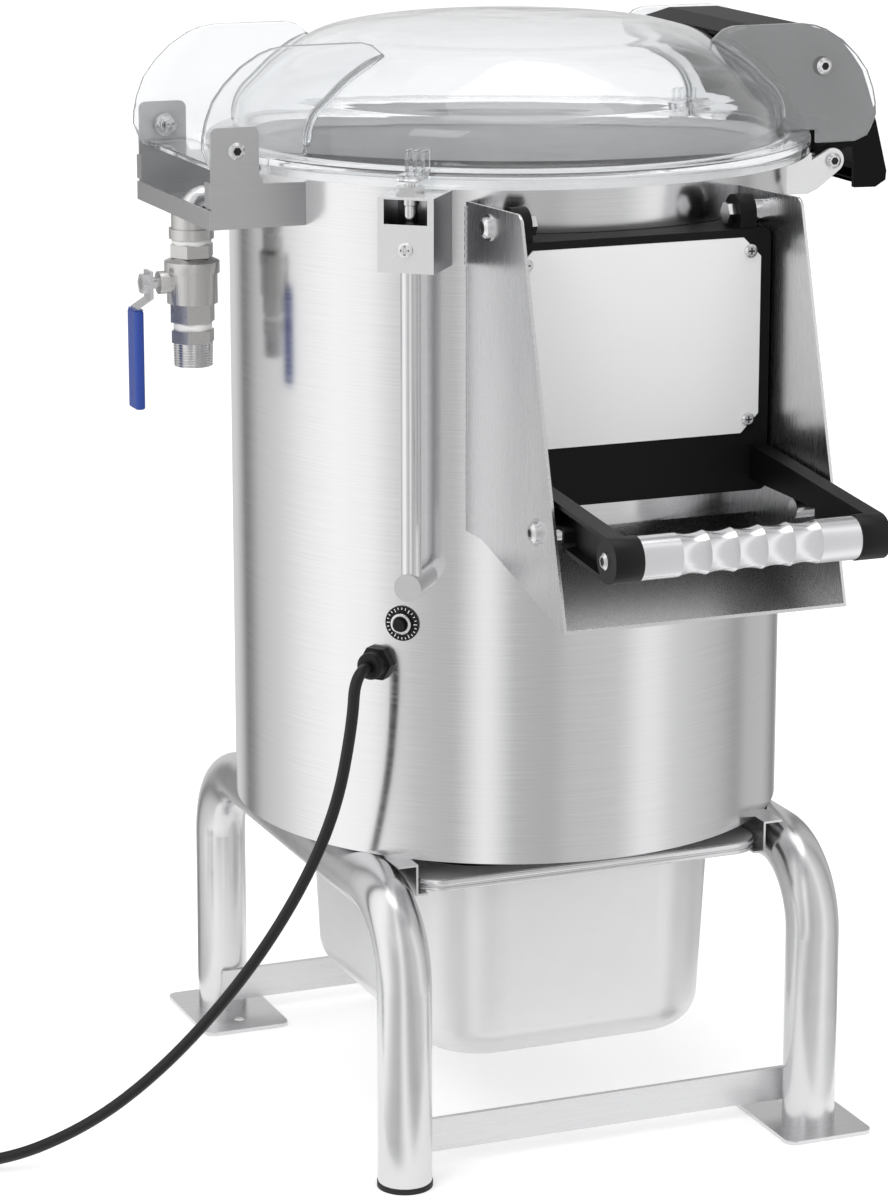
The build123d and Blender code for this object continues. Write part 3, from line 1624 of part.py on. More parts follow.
# Cable gland, and the cord that leaves it
gland_hex = 11.0
gland_hex_height = 6.0
gland_dome = 9.5
gland_reach = 16.0
gland_face = drum_radius + gland_reach
gland_round = 3.5
gland_nut_height = 6.0
cord_radius = 4.1
with BuildPart() as gland_head:
    hexagon(radial_plane(gland_azimuth, inner_radius, gland_z), gland_hex, sheet + gland_hex_height)
    disc(radial_plane(gland_azimuth, drum_radius, gland_z), gland_dome, gland_face - drum_radius)
    mouth = radial_plane(gland_azimuth, gland_face, gland_z).origin
    fillet(faces().sort_by_distance(mouth)[0].edges(), radius=gland_round)
    cut_drum(drum_radius)

with BuildPart() as cable_gland:
    hexagon(
        radial_plane(gland_azimuth, inner_radius - gland_nut_height, gland_z),
        gland_hex,
        gland_nut_height + sheet,
    )
    keep_inside(inner_radius)
    disc(
        radial_plane(gland_azimuth, inner_radius - gland_nut_height, gland_z),
        gland_neck,
        gland_nut_height + 2 * sheet,
    )
    add(gland_head.part)

# The cord's free stretch: real points of its route down to the floor
coil_x = -484.0
coil_y = 20.0
coil_radius = 54.0
coil_pitch = 9.0
coil_turns = 4.25
coil_start_turn = -107.5
floor_gap = 1.2
coil_tangent_share = 0.02
cord_exit_run = 18.0
cord_floor_run = 90.0
coil_low = cord_radius + floor_gap


def coil_place(turns):
    """Place on the cord's coil after a number of turns: in, one layer up, and out."""
    half = coil_turns / 2
    angle = radians(coil_start_turn) - 2 * pi * turns
    radius = coil_radius - coil_pitch * (turns if turns < half else coil_turns - turns)
    climb = min(max((turns - half) * 2 + 0.5, 0), 1)
    height = coil_low + coil_pitch * climb * climb * (3 - 2 * climb)
    return Vector(coil_x + radius * cos(angle), coil_y + radius * sin(angle), height)


def coil_heading(turns):
    """Direction of the coil at a number of turns, from the places around it."""
    reach = coil_tangent_share
    before = max(turns - reach, 0)
    after = min(turns + reach, coil_turns)
    return (coil_place(after) - coil_place(before)).normalized()


coil_steps_per_turn = 4
coil_steps = round(coil_turns * coil_steps_per_turn)
exit_turn = radians(gland_azimuth)
exit_way = Vector(sin(exit_turn), -cos(exit_turn), 0)
cord_exit = exit_way * gland_face + Vector(0, 0, gland_z)
coil_begin = coil_place(0)
cord_points = [
    cord_exit,
    cord_exit + exit_way * cord_exit_run,
    Vector(-178.5, -153.6, 325.0),
    Vector(-189.5, -149.8, 262.0),
    Vector(-214.0, -138.0, 200.0),
    Vector(-250.0, -120.0, 136.0),
    Vector(-300.0, -97.5, 72.0),
    Vector(-352.0, -78.2, 28.0),
    coil_begin - coil_heading(0) * cord_floor_run,
    coil_begin,
]


def corner_radii(points, first_share, share):
    """Bend radii of a route: a share of each corner's shorter run sets its bend."""
    radii = []
    for place in range(1, len(points) - 1):
        run_in = points[place] - points[place - 1]
        run_out = points[place + 1] - points[place]
        half_turn = radians(run_in.get_angle(run_out)) / 2
        taken = first_share * run_in.length if place == 1 else share * min(run_in.length, run_out.length)
        radii.append(taken / tan(half_turn))
    return radii


first_bend_share = 0.9
bend_share = 0.45
cord_bends = corner_radii(cord_points, first_bend_share, bend_share)
print("cord bend radii", [round(bend, 1) for bend in cord_bends])
with BuildPart() as power_cord:
    with BuildLine() as cord_route:
        FilletPolyline(*cord_points, radius=cord_bends)
    with BuildSketch(Plane(cord_exit, z_dir=exit_way)):
        Circle(cord_radius)
    sweep(path=cord_route.wires()[0])
cord_length = sum(edge.length for edge in cord_route.edges())
print("cord volume over section x length", power_cord.part.volume / (pi * cord_radius**2 * cord_length))

# The cord's unseen length lies coiled on the floor, in two layers
tail_run = 45.0


def meeting_point(start, heading_in, end, heading_out):
    """Point where two tangent arcs from start to end meet."""
    span = end - start
    both = heading_in + heading_out
    spread = 2 * (1 - heading_in.dot(heading_out))
    along = span.dot(both)
    reach = (sqrt(along**2 + spread * span.dot(span)) - along) / spread
    return (start + end + (heading_in - heading_out) * reach) * 0.5


with BuildPart() as cord_coil:
    with BuildLine() as coil_route:
        for step in range(coil_steps):
            here = step / coil_steps_per_turn
            there = (step + 1) / coil_steps_per_turn
            middle = meeting_point(
                coil_place(here), coil_heading(here), coil_place(there), coil_heading(there)
            )
            first_arc = TangentArc(coil_place(here), middle, tangent=coil_heading(here))
            TangentArc(middle, coil_place(there), tangent=first_arc % 1)
        coil_end = coil_place(coil_turns)
        tail_way = coil_heading(coil_turns)
        Line(coil_end, coil_end + tail_way * tail_run)
    with BuildSketch(Plane(coil_begin, z_dir=coil_heading(0))):
        Circle(cord_radius)
    sweep(path=coil_route.wires()[0])
coil_length = sum(edge.length for edge in coil_route.edges())
print("coil volume over section x length", cord_coil.part.volume / (pi * cord_radius**2 * coil_length))
print("cord length", cord_length + coil_length)

# Mains plug that lies at the cord's end
relief_length = 35.0
relief_start_radius = 5.6
relief_end_radius = 9.0
plug_length = 38.0
plug_half_width = 18.0
plug_half_height = 14.3
plug_round = 6.0
plug_pin_radius = 2.4
plug_pin_length = 19.0
plug_pin_half_pitch = 9.5
tail_flat = Vector(tail_way.X, tail_way.Y, 0).normalized()
plug_start = coil_end + tail_way * tail_run
plug_plane = Plane(
    (plug_start.X, plug_start.Y, plug_half_height), x_dir=(-tail_flat.Y, tail_flat.X, 0), z_dir=tail_flat
)
with BuildPart() as mains_plug:
    with BuildSketch(plug_plane):
        Circle(relief_start_radius)
    with BuildSketch(plug_plane.offset(relief_length)):
        Circle(relief_end_radius)
    loft()
    with BuildSketch(plug_plane.offset(relief_length)):
        Ellipse(plug_half_width, plug_half_height)
    extrude(amount=plug_length)
    for side in (-1, 1):
        with BuildSketch(plug_plane.offset(relief_length + plug_length)):
            with Locations((side * plug_pin_half_pitch, 0)):
                Circle(plug_pin_radius)
        extrude(amount=plug_pin_length)

pieces = {
    "drum_shell": drum_shell,
    "base_plate": base_plate,
    "chamber_floor": chamber_floor,
    "abrasive_liner": abrasive_liner,
    "chute": chute,
    "leg_frames": leg_frames,
    "crossbars": crossbars,
    "pan_rails": pan_rails,
    "floor_plates": floor_plates,
    "foot_caps": foot_caps,
    "peel_pan": peel_pan,
    "peeling_disc": peeling_disc,
    "main_shaft": main_shaft,
    "bearing_housing": bearing_housing,
    "shaft_bearings": shaft_bearings,
    "shaft_seal": shaft_seal,
    "large_pulley": large_pulley,
    "motor_pulley": motor_pulley,
    "drive_belt": drive_belt,
    "motor": motor,
    "motor_shaft": motor_shaft,
    "motor_mount": motor_mount,
    "drain_outlet": drain_outlet,
    "door_frame": door_frame,
    "door_panel": door_panel,
    "door_liner": door_liner,
    "door_screws": door_screws,
    "door_seal": door_seal,
    "door_hinge_bolts": door_hinge_bolts,
    "stop_pins": stop_pins,
    "handle_arms": handle_arms,
    "handle_grip": handle_grip,
    "handle_screws": handle_screws,
    "lid": lid,
    "lid_seal": lid_seal,
    "hinge_bracket": hinge_bracket,
    "hinge_screws": hinge_screws,
    "hinge_nuts": hinge_nuts,
    "latch_arms": latch_arms,
    "latch_bolt": latch_bolt,
    "latch_handle": latch_handle,
    "latch_screws": latch_screws,
    "valve_socket": valve_socket,
    "valve_body": valve_body,
    "valve_nipple": valve_nipple,
    "valve_ball": valve_ball,
    "valve_lever": valve_lever,
    "lever_sleeve": lever_sleeve,
    "spray_pipe": spray_pipe,
    "switch_box": switch_box,
    "switch_plunger": switch_plunger,
    "plunger_guide": plunger_guide,
    "micro_switch": micro_switch,
    "conduit": conduit,
    "reset_breaker": reset_breaker,
    "reset_button": reset_button,
    "cable_gland": cable_gland,
    "power_cord": power_cord,
    "cord_coil": cord_coil,
    "mains_plug": mains_plug,
}
for name, piece in pieces.items():
    piece.part.label = name
    export_step(piece.part, f"parts/{name}.step")
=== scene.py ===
import math

import bmesh
import bpy
import numpy as np
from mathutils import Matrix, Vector


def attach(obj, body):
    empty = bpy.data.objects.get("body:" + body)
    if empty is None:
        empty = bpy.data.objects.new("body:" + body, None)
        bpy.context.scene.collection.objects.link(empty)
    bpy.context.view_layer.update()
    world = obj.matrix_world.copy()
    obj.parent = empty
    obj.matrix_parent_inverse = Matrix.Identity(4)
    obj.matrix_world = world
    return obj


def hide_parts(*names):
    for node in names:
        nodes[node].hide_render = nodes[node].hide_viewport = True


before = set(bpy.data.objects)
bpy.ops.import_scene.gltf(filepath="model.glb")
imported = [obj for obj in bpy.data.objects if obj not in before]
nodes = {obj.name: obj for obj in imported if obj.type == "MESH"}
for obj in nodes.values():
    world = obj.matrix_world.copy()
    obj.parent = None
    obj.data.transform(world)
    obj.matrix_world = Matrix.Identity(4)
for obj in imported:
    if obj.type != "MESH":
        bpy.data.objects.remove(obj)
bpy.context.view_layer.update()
MM = 0.001
TAU = 2 * math.pi

# Sizes in millimetres that the pieces made here share with the CAD model
DRUM_R = 199.0
DOME_R, DOME_WALL = 195.5, 3.0
FLANGE_R, FLANGE_TOP, FLANGE_UNDER = 215.5, 705.5, 701.5
COVE_R = 6.5
LIP_FOOT = 694.1
EAR_SIDE, EAR_HALF = 75.0, 2.0
HINGE_X, HINGE_Z = -232.0, 712.0
VALVE_X = -238.0
CHEEK_X = 102.3
PAN_HALF_X, PAN_HALF_Y, PAN_CORNER = 132.5, 162.5, 22.0

# Azimuths in degrees, from the drum's front towards its right
SWITCH_TURN, REAR_LUG_TURN, RESET_TURN, GLAND_TURN = -39.2, 118.0, -43.75, -49.04


# Camera: the photograph's place and angle, in metres
CAMERA_PLACE = (-1.10553, -2.61688, 1.07587)
CAMERA_FORWARD = (0.3631, 0.8992, -0.2444)
CAMERA_LENS, CAMERA_SENSOR, CAMERA_REACH = 119.8, 36.0, 50.0


def aimed(obj, way):
    """Turns an object so that its minus Z axis points along a direction."""
    obj.rotation_euler = Vector(way).to_track_quat("-Z", "Y").to_euler()


def make_camera():
    data = bpy.data.cameras.new("photo_camera")
    data.lens = CAMERA_LENS
    data.sensor_width = CAMERA_SENSOR
    data.sensor_fit = "AUTO"
    data.clip_end = CAMERA_REACH
    cam = bpy.data.objects.new("photo_camera", data)
    cam.location = CAMERA_PLACE
    aimed(cam, CAMERA_FORWARD)
    bpy.context.scene.collection.objects.link(cam)
    bpy.context.scene.camera = cam


make_camera()


# Power cord: one curve from the gland to the floor, on into its coil, and out to the plug
CORD_D = 8.2
GLAND_TIP_R, GLAND_Z, GLAND_RUN = 215.0, 360.4, 18.0
CORD_ROUTE = [
    (-178.5, -153.6, 325.0),
    (-189.5, -149.8, 262.0),
    (-214.0, -138.0, 200.0),
    (-250.0, -120.0, 136.0),
    (-300.0, -97.5, 72.0),
    (-352.0, -78.2, 28.0),
]
COIL_X, COIL_Y, COIL_R, COIL_PITCH = -484.0, 20.0, 54.0, 9.0
COIL_TURNS, COIL_START, COIL_LOW = 4.25, -107.5, 5.3
COIL_POINTS_PER_TURN = 16
LEAD_RUN, TAIL_RUN = 90.0, 45.0
CORD_ROUND, CORD_STEPS = 6, 10


def coil_place(turns):
    """A flat spiral that winds inwards, climbs one layer at its middle and winds out.

    The radius shrinks by one pitch a turn up to the middle and grows again after it. The
    height rises by one pitch within half a turn on each side of the middle, as 3s^2 - 2s^3.
    """
    half = COIL_TURNS / 2
    angle = math.radians(COIL_START) - TAU * turns
    radius = COIL_R - COIL_PITCH * (turns if turns < half else COIL_TURNS - turns)
    climb = min(max((turns - half) * 2 + 0.5, 0), 1)
    height = COIL_LOW + COIL_PITCH * climb * climb * (3 - 2 * climb)
    return Vector((COIL_X + radius * math.cos(angle), COIL_Y + radius * math.sin(angle), height))


def coil_heading(turns):
    """Direction of the coil, from places a little before and after."""
    before, after = max(turns - 0.02, 0), min(turns + 0.02, COIL_TURNS)
    return (coil_place(after) - coil_place(before)).normalized()


def gland_frame():
    """Where the cord leaves the gland, and its direction there, straight out of the drum."""
    turn = math.radians(GLAND_TURN)
    way = Vector((math.sin(turn), -math.cos(turn), 0.0))
    return way * GLAND_TIP_R + Vector((0, 0, GLAND_Z)), way


def cord_points():
    """Control points of the cord's spline: the free stretch, the coil and its tail."""
    start, way = gland_frame()
    points = [start, start + way * GLAND_RUN]
    points += [Vector(place) for place in CORD_ROUTE]
    points.append(coil_place(0) - coil_heading(0) * LEAD_RUN)
    count = round(COIL_TURNS * COIL_POINTS_PER_TURN)
    points += [coil_place(COIL_TURNS * i / count) for i in range(count + 1)]
    points.append(points[-1] + coil_heading(COIL_TURNS) * TAIL_RUN / 2)
    points.append(points[-2] + coil_heading(COIL_TURNS) * TAIL_RUN)
    return points


def make_cord():
    """Round curve along the control points; each point's radius is the cord's in metres."""
    curve = bpy.data.curves.new("mains_cord", "CURVE")
    curve.dimensions = "3D"
    curve.bevel_depth = 1.0
    curve.bevel_resolution = CORD_ROUND
    curve.resolution_u = CORD_STEPS
    curve.use_fill_caps = True
    places = cord_points()
    spline = curve.splines.new("NURBS")
    spline.points.add(len(places) - 1)
    for point, place in zip(spline.points, places):
        point.co = (*(place * MM), 1.0)
        point.radius = CORD_D / 2 * MM
    spline.order_u = 3
    spline.use_endpoint_u = True
    cord = bpy.data.objects.new("mains_cord", curve)
    bpy.context.scene.collection.objects.link(cord)
    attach(cord, "machine")
    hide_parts("power_cord", "cord_coil")
    return cord


cord = make_cord()


# Colours, nodes and patterns
def linear(level):
    """Linear value of an sRGB level from 0 to 1."""
    return level / 12.92 if level <= 0.04045 else ((level + 0.055) / 1.055) ** 2.4


def rgb(code):
    """Linear colour of an sRGB hex code."""
    return tuple(linear(int(code[i : i + 2], 16) / 255) for i in (0, 2, 4)) + (1.0,)


def per_metre(size):
    """Pattern scale at which one cell is as wide as a real size in millimetres."""
    return 1.0 / (size * MM)


def put(tree, kind, inputs=None, **settings):
    """Adds a node. Settings are its properties; inputs name a socket by word or number,
    and give it a value or the output that feeds it."""
    node = tree.nodes.new(kind)
    for key, value in settings.items():
        setattr(node, key, value)
    for key, value in (inputs or {}).items():
        if isinstance(value, bpy.types.NodeSocket):
            tree.links.new(value, node.inputs[key])
        else:
            node.inputs[key].default_value = value
    return node


def new_material(name, colour, rough, metal=0.0, **sockets):
    """Material with one Principled shader; returns it with its tree and shader."""
    mat = bpy.data.materials.new(name)
    mat.use_nodes = True
    tree = mat.node_tree
    shader = tree.nodes["Principled BSDF"]
    shader.inputs["Base Color"].default_value = rgb(colour)
    shader.inputs["Roughness"].default_value = rough
    shader.inputs["Metallic"].default_value = metal
    for key, value in sockets.items():
        shader.inputs[key.replace("_", " ")].default_value = value
    return mat, tree, shader


def place_on(tree, scale=(1.0, 1.0, 1.0)):
    """Object coordinates, stretched along the axes."""
    place = put(tree, "ShaderNodeTexCoord").outputs["Object"]
    return put(tree, "ShaderNodeMapping", {"Vector": place, "Scale": scale}).outputs["Vector"]


def place_round(tree, scale_round, scale_up):
    """Coordinates that run round the drum's axis, as angle times radius, and up it."""
    place = put(tree, "ShaderNodeTexCoord").outputs["Object"]
    part = put(tree, "ShaderNodeSeparateXYZ", {"Vector": place}).outputs
    turn = put(tree, "ShaderNodeMath", {0: part["X"], 1: part["Y"]}, operation="ARCTAN2")
    stretch = scale_round * DRUM_R * MM
    across = put(tree, "ShaderNodeMath", {0: turn.outputs[0], 1: stretch}, operation="MULTIPLY")
    up = put(tree, "ShaderNodeMath", {0: part["Z"], 1: scale_up}, operation="MULTIPLY")
    joined = {"X": across.outputs[0], "Z": up.outputs[0]}
    return put(tree, "ShaderNodeCombineXYZ", joined).outputs["Vector"]


NOISE_LOW, NOISE_HIGH = 0.3, 0.7
GRAIN_DETAIL, GRAIN_BUMP = 3.0, 0.35


def grain(tree, shader, vector, scale, tone, tone_step, rough, rough_step, height):
    """Noise gives the colour, the roughness and a fine bump together.

    While the noise runs from its low to its high, the colour runs from 1 - step to 1 + step
    times its tone, and the roughness from rough - step to rough + step. Height is in mm.
    """
    noise = put(
        tree, "ShaderNodeTexNoise", {"Vector": vector, "Scale": scale, "Detail": GRAIN_DETAIL}
    ).outputs["Fac"]
    ramp = put(tree, "ShaderNodeValToRGB", {"Fac": noise})
    tone = np.array(rgb(tone)[:3])
    low, high = ramp.color_ramp.elements
    low.position, high.position = NOISE_LOW, NOISE_HIGH
    low.color = (*(tone * (1 - tone_step)), 1.0)
    high.color = (*np.minimum(tone * (1 + tone_step), 1.0), 1.0)
    tree.links.new(ramp.outputs["Color"], shader.inputs["Base Color"])
    spread = put(
        tree,
        "ShaderNodeMapRange",
        {
            "Value": noise,
            "From Min": NOISE_LOW,
            "From Max": NOISE_HIGH,
            "To Min": rough - rough_step,
            "To Max": rough + rough_step,
        },
    )
    tree.links.new(spread.outputs["Result"], shader.inputs["Roughness"])
    bump = {"Height": noise, "Strength": GRAIN_BUMP, "Distance": height * MM}
    tree.links.new(
        put(tree, "ShaderNodeBump", bump).outputs["Normal"], shader.inputs["Normal"]
    )


# Brush lines on stainless sheet are about 0.1 mm wide, which is too fine to show in the
# render, so they are drawn 0.7 to 0.8 mm wide and 56 to 71 mm long
LINE_WIDE, LINE_LONG = 0.66667, 55.5556
DRUM_LINE_WIDE, DRUM_LINE_LONG = 0.76923, 71.4286
BRUSH_TONE_STEP, BRUSH_ROUGH_STEP = 0.035, 0.035
STEEL = "dadadb"


def brushed(name, along, tone=STEEL, rough=0.27, height=0.006):
    """Brushed stainless steel: long fine lines along one axis, or round the drum."""
    mat, tree, shader = new_material(name, tone, rough, 1.0)
    if along == "round":
        vector = place_round(tree, per_metre(DRUM_LINE_LONG), per_metre(DRUM_LINE_WIDE))
    else:
        wide, long = per_metre(LINE_WIDE), per_metre(LINE_LONG)
        vector = place_on(tree, tuple(long if axis == along else wide for axis in "XYZ"))
    steps = (BRUSH_TONE_STEP, rough, BRUSH_ROUGH_STEP)
    grain(tree, shader, vector, 1.0, tone, *steps, height)
    return mat


def mottled(name, tone, rough, metal, cell, tone_step, rough_step, height, **sockets):
    """Finish with an even mottle, whose cells are a real size in mm: satin, cast, moulded."""
    mat, tree, shader = new_material(name, tone, rough, metal, **sockets)
    vector = place_on(tree)
    grain(tree, shader, vector, per_metre(cell), tone, tone_step, rough, rough_step, height)
    return mat


# Stainless sheet, brushed round the drum: soft upright bands of light, drawn out sideways
steel_round = brushed("brushed_drum_steel", "round", rough=0.17, height=0.02)
# Stainless flat bar and sheet, brushed lengthwise: an even grey with a faint grain
steel_x = brushed("brushed_steel_along_x", "X", rough=0.3)
steel_y = brushed("brushed_steel_along_y", "Y", rough=0.3)
steel_z = brushed("brushed_steel_along_z", "Z", rough=0.32)
# Stainless sheet with a duller brushing: the bracket is greyer than the drum
bracket_steel = brushed("dull_bracket_steel", "X", tone="c4c4c5", rough=0.34, height=0.004)
# Stainless sheet with a satin brushing: the chute mirrors its surroundings softly
cheek_steel = brushed("satin_cheek_steel", "Z", tone="dcdcdd", height=0.004)

# Stainless tube, bent and satin polished: clear long highlights, hardly any grain
satin_steel = mottled("satin_polished_tube", STEEL, 0.24, 1.0, 16.667, 0.015, 0.02, 0.001)
# Deep-drawn stainless pan: pale, with the wide soft waves that drawing leaves
pan_steel = mottled("deep_drawn_pan_steel", "ebebeb", 0.36, 0.6, 16.667, 0.01, 0.02, 0.001)
# The same pan inside: rougher, and drawn darker as painted shade, so that it looks deep
pan_inside = mottled("pan_hollow_painted_shade", "aeaeb0", 0.5, 0.55, 16.667, 0.02, 0.03, 0.001)
# Stainless sheet inside the drum: rough and even, nearly without reflections, and drawn paler than
# the outer steel as painted light
bore_steel = mottled("painted_light_bore_steel", "e8e8e9", 0.42, 0.45, 11.111, 0.02, 0.04, 0.002)
# Bead-blasted stainless panel: almost white and matt; its 0.1 mm texture is drawn at 0.8
panel_steel = mottled("satin_panel_steel", "fafafa", 0.34, 0.1, 0.8333, 0.01, 0.02, 0.002)
# Folded stainless sheet with a fine satin: the switch box and the latch arms, pale
box_steel = mottled("satin_box_steel", "e6e6e7", 0.22, 0.6, 2.5, 0.01, 0.02, 0.001)
# Painted shade: the flanks of that box, the same stainless sheet drawn darker
box_flank = mottled("painted_shade_box_sides", "8f8f91", 0.3, 1.0, 2.5, 0.01, 0.02, 0.001)
# Turned stainless nut: crisp light facets
nut_steel = mottled("plain_nut_steel", "dcdcdd", 0.13, 1.0, 2.0, 0.02, 0.02, 0.001)
# Turned and tumbled stainless screws, pins and shafts: small sharp highlights
bright = mottled("bright_screw_steel", "d8d8d9", 0.16, 1.0, 1.4286, 0.03, 0.04, 0.002)
# Painted shade for the bottom of a screw's socket or slot: nearly black
recess_dark = mottled("painted_shade_in_recess", "1c1c1d", 0.55, 0.3, 1.1111, 0.1, 0.05, 0.002)
# Investment-cast stainless valve, blasted: a grey skin with a 1 mm roughness
cast_valve = mottled("blasted_cast_valve_steel", "c3c2c0", 0.36, 1.0, 1.1111, 0.05, 0.06, 0.05)
# Polished aluminium bar: the grip is the brightest metal, with soft white highlights
grip_metal = mottled("polished_aluminium_grip", "e6e6e8", 0.2, 1.0, 2.0, 0.01, 0.02, 0.001)
# Moulded black nylon: its spark-eroded texture is drawn at 0.7 mm, coarser than it is
PLASTIC_CELL = 0.66667
black_satin = mottled(
    "moulded_black_plastic", "060607", 0.45, 0.0, PLASTIC_CELL, 0.2, 0.05, 0.006,
    Specular_IOR_Level=0.3,
)
# The same nylon with a more matt texture: the door's frame stays black in full light
black_soft = mottled(
    "soft_black_moulding", "060607", 0.55, 0.0, PLASTIC_CELL, 0.2, 0.05, 0.006,
    Specular_IOR_Level=0.22,
)
# Moulded black ABS of the latch handle: deep black, with dim broad highlights
latch_black = mottled(
    "moulded_black_latch", "040405", 0.45, 0.0, PLASTIC_CELL, 0.15, 0.04, 0.003,
    Specular_IOR_Level=0.14,
)
# Moulded black rubber: matt, hardly any highlight
rubber = mottled("black_rubber", "101010", 0.62, 0.0, 1.1111, 0.2, 0.06, 0.02)
# Extruded grey silicone door seal: soft and even
grey_seal = mottled("grey_door_seal", "8d8e90", 0.5, 0.0, 2.0, 0.08, 0.06, 0.02)
# Extruded milky silicone lid seal: pale, so that the flange above it looks bright
clear_seal = mottled("translucent_lid_seal", "ececec", 0.35, 0.0, 3.3333, 0.02, 0.04, 0.004)
# Extruded black rubber cord sheath: a thin highlight along its upper side
cord_skin = mottled(
    "black_cord_sheath", "0b0b0c", 0.38, 0.0, 1.1111, 0.15, 0.05, 0.006,
    Specular_IOR_Level=0.4,
)
# Soft PVC that the lever was dipped in: strong blue, glossy and slightly wavy
blue_dip = mottled("dipped_blue_sleeve", "23459f", 0.28, 0.0, 16.667, 0.02, 0.02, 0.001)
# Wound PTFE tape: chalk white and matt
tape_white = mottled("white_thread_tape", "f6f6f4", 0.55, 0.0, 1.1111, 0.02, 0.05, 0.03)
# Pad-printed white ticks: flat and even
tick_white = mottled("white_tick_print", "f2f2f2", 0.5, 0.0, 1.1111, 0.01, 0.03, 0.002)
# Silicon carbide grit bonded with resin, 0.7 mm grains: dark, rough and speckled
grit = mottled("abrasive_grit_lining", "3a3a3b", 0.8, 0.0, 0.7143, 0.6, 0.08, 0.6)
# Sand-cast iron, 2 mm sand marks: dull dark grey
cast_iron = mottled("grey_cast_iron", "4b4c4e", 0.55, 0.8, 2.0, 0.12, 0.08, 0.1)
# Sprayed enamel on the motor, with a fine orange peel of 2.5 mm: dull blue grey
motor_paint = mottled("grey_motor_paint", "3c434c", 0.45, 0.0, 2.5, 0.06, 0.06, 0.03)

CLEAR_IOR, CLEAR_ROUGH, CLEAR_SHADE = 1.46, 0.02, (0.95, 0.96, 0.96, 1.0)
RIPPLE_CELL, RIPPLE_BUMP = 38.4615, 0.12


def make_clear(name, through, ripple):
    """Clear moulded plastic that lets lamplight through; a thin plate shows some haze.

    The ripple is the height in mm of the long waves that moulding leaves.
    """
    mat, tree, shader = new_material(name, "fbfcfd", CLEAR_ROUGH)
    shader.inputs["Transmission Weight"].default_value = through
    shader.inputs["IOR"].default_value = CLEAR_IOR
    waves = {"Vector": place_on(tree), "Scale": per_metre(RIPPLE_CELL), "Detail": 1.0}
    noise = put(tree, "ShaderNodeTexNoise", waves).outputs["Fac"]
    bump = {"Height": noise, "Strength": RIPPLE_BUMP, "Distance": ripple * MM}
    tree.links.new(
        put(tree, "ShaderNodeBump", bump).outputs["Normal"], shader.inputs["Normal"]
    )
    shadow = put(tree, "ShaderNodeLightPath").outputs["Is Shadow Ray"]
    open_way = put(tree, "ShaderNodeBsdfTransparent", {"Color": CLEAR_SHADE}).outputs[0]
    mix = put(tree, "ShaderNodeMixShader", {0: shadow, 1: shader.outputs[0], 2: open_way})
    tree.links.new(mix.outputs[0], tree.nodes["Material Output"].inputs["Surface"])
    return mat


# Blown polycarbonate dome: clear, with long faint waves
clear = make_clear("clear_polycarbonate", 0.97, 0.5)
# Flat polycarbonate plate: a trace of haze makes the ears show against white
clear_plate = make_clear("clear_ear_polycarbonate", 0.86, 0.15)


# Mesh helpers
def mesh_object(name, verts, faces, material, body, smooth=True):
    """Piece from vertices in millimetres and faces, riding on a body."""
    mesh = bpy.data.meshes.new(name)
    mesh.from_pydata((np.asarray(verts, float) * MM).tolist(), [], faces)
    mesh.update()
    if smooth:
        mesh.polygons.foreach_set("use_smooth", [True] * len(mesh.polygons))
    obj = bpy.data.objects.new(name, mesh)
    bpy.context.scene.collection.objects.link(obj)
    mesh.materials.append(material)
    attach(obj, body)
    return obj


def turns_of(steps):
    """Even angles of one full turn."""
    return np.arange(steps) / steps * TAU


def grid_faces(rows, columns):
    """Quads of a grid that closes round its columns: each point with its right neighbour
    and the two above them."""
    low = (np.arange(rows - 1) * columns)[:, None]
    here = np.arange(columns)[None, :]
    right = (here + 1) % columns
    high = low + columns
    quads = np.stack([low + here, low + right, high + right, high + here], axis=-1)
    return quads.reshape(-1, 4).tolist()


def spun(name, profile, material, body, centre=(0.0, 0.0, 0.0), steps=192, closed=False):
    """Profile of (radius, height) points turned round an upright axis through the centre:
    x and y are the radius times cosine and sine of the turn."""
    profile = np.asarray(profile, float)
    if closed:
        profile = np.vstack([profile, profile[:1]])
    turn = turns_of(steps)
    r = profile[:, 0][:, None]
    h = np.repeat(profile[:, 1][:, None], steps, axis=1)
    verts = np.stack([r * np.cos(turn), r * np.sin(turn), h], axis=-1).reshape(-1, 3)
    verts += np.asarray(centre, float)
    return mesh_object(name, verts, grid_faces(len(profile), steps), material, body)


MERGE_GAP, WELD_GAP = 0.02, 0.01


def seal(obj):
    """Merges the points that meet at seams and poles, and turns the faces outwards."""
    bm = bmesh.new()
    bm.from_mesh(obj.data)
    bmesh.ops.remove_doubles(bm, verts=bm.verts, dist=MERGE_GAP * MM)
    bmesh.ops.recalc_face_normals(bm, faces=bm.faces)
    bm.to_mesh(obj.data)
    bm.free()


def soften(obj, width, angle=40.0, segments=2):
    """Small rounded edges, with even shading on the flat faces between them."""
    bevel = obj.modifiers.new("edge_round", "BEVEL")
    bevel.width = width * MM
    bevel.segments = segments
    bevel.limit_method = "ANGLE"
    bevel.angle_limit = math.radians(angle)
    bevel.harden_normals = True


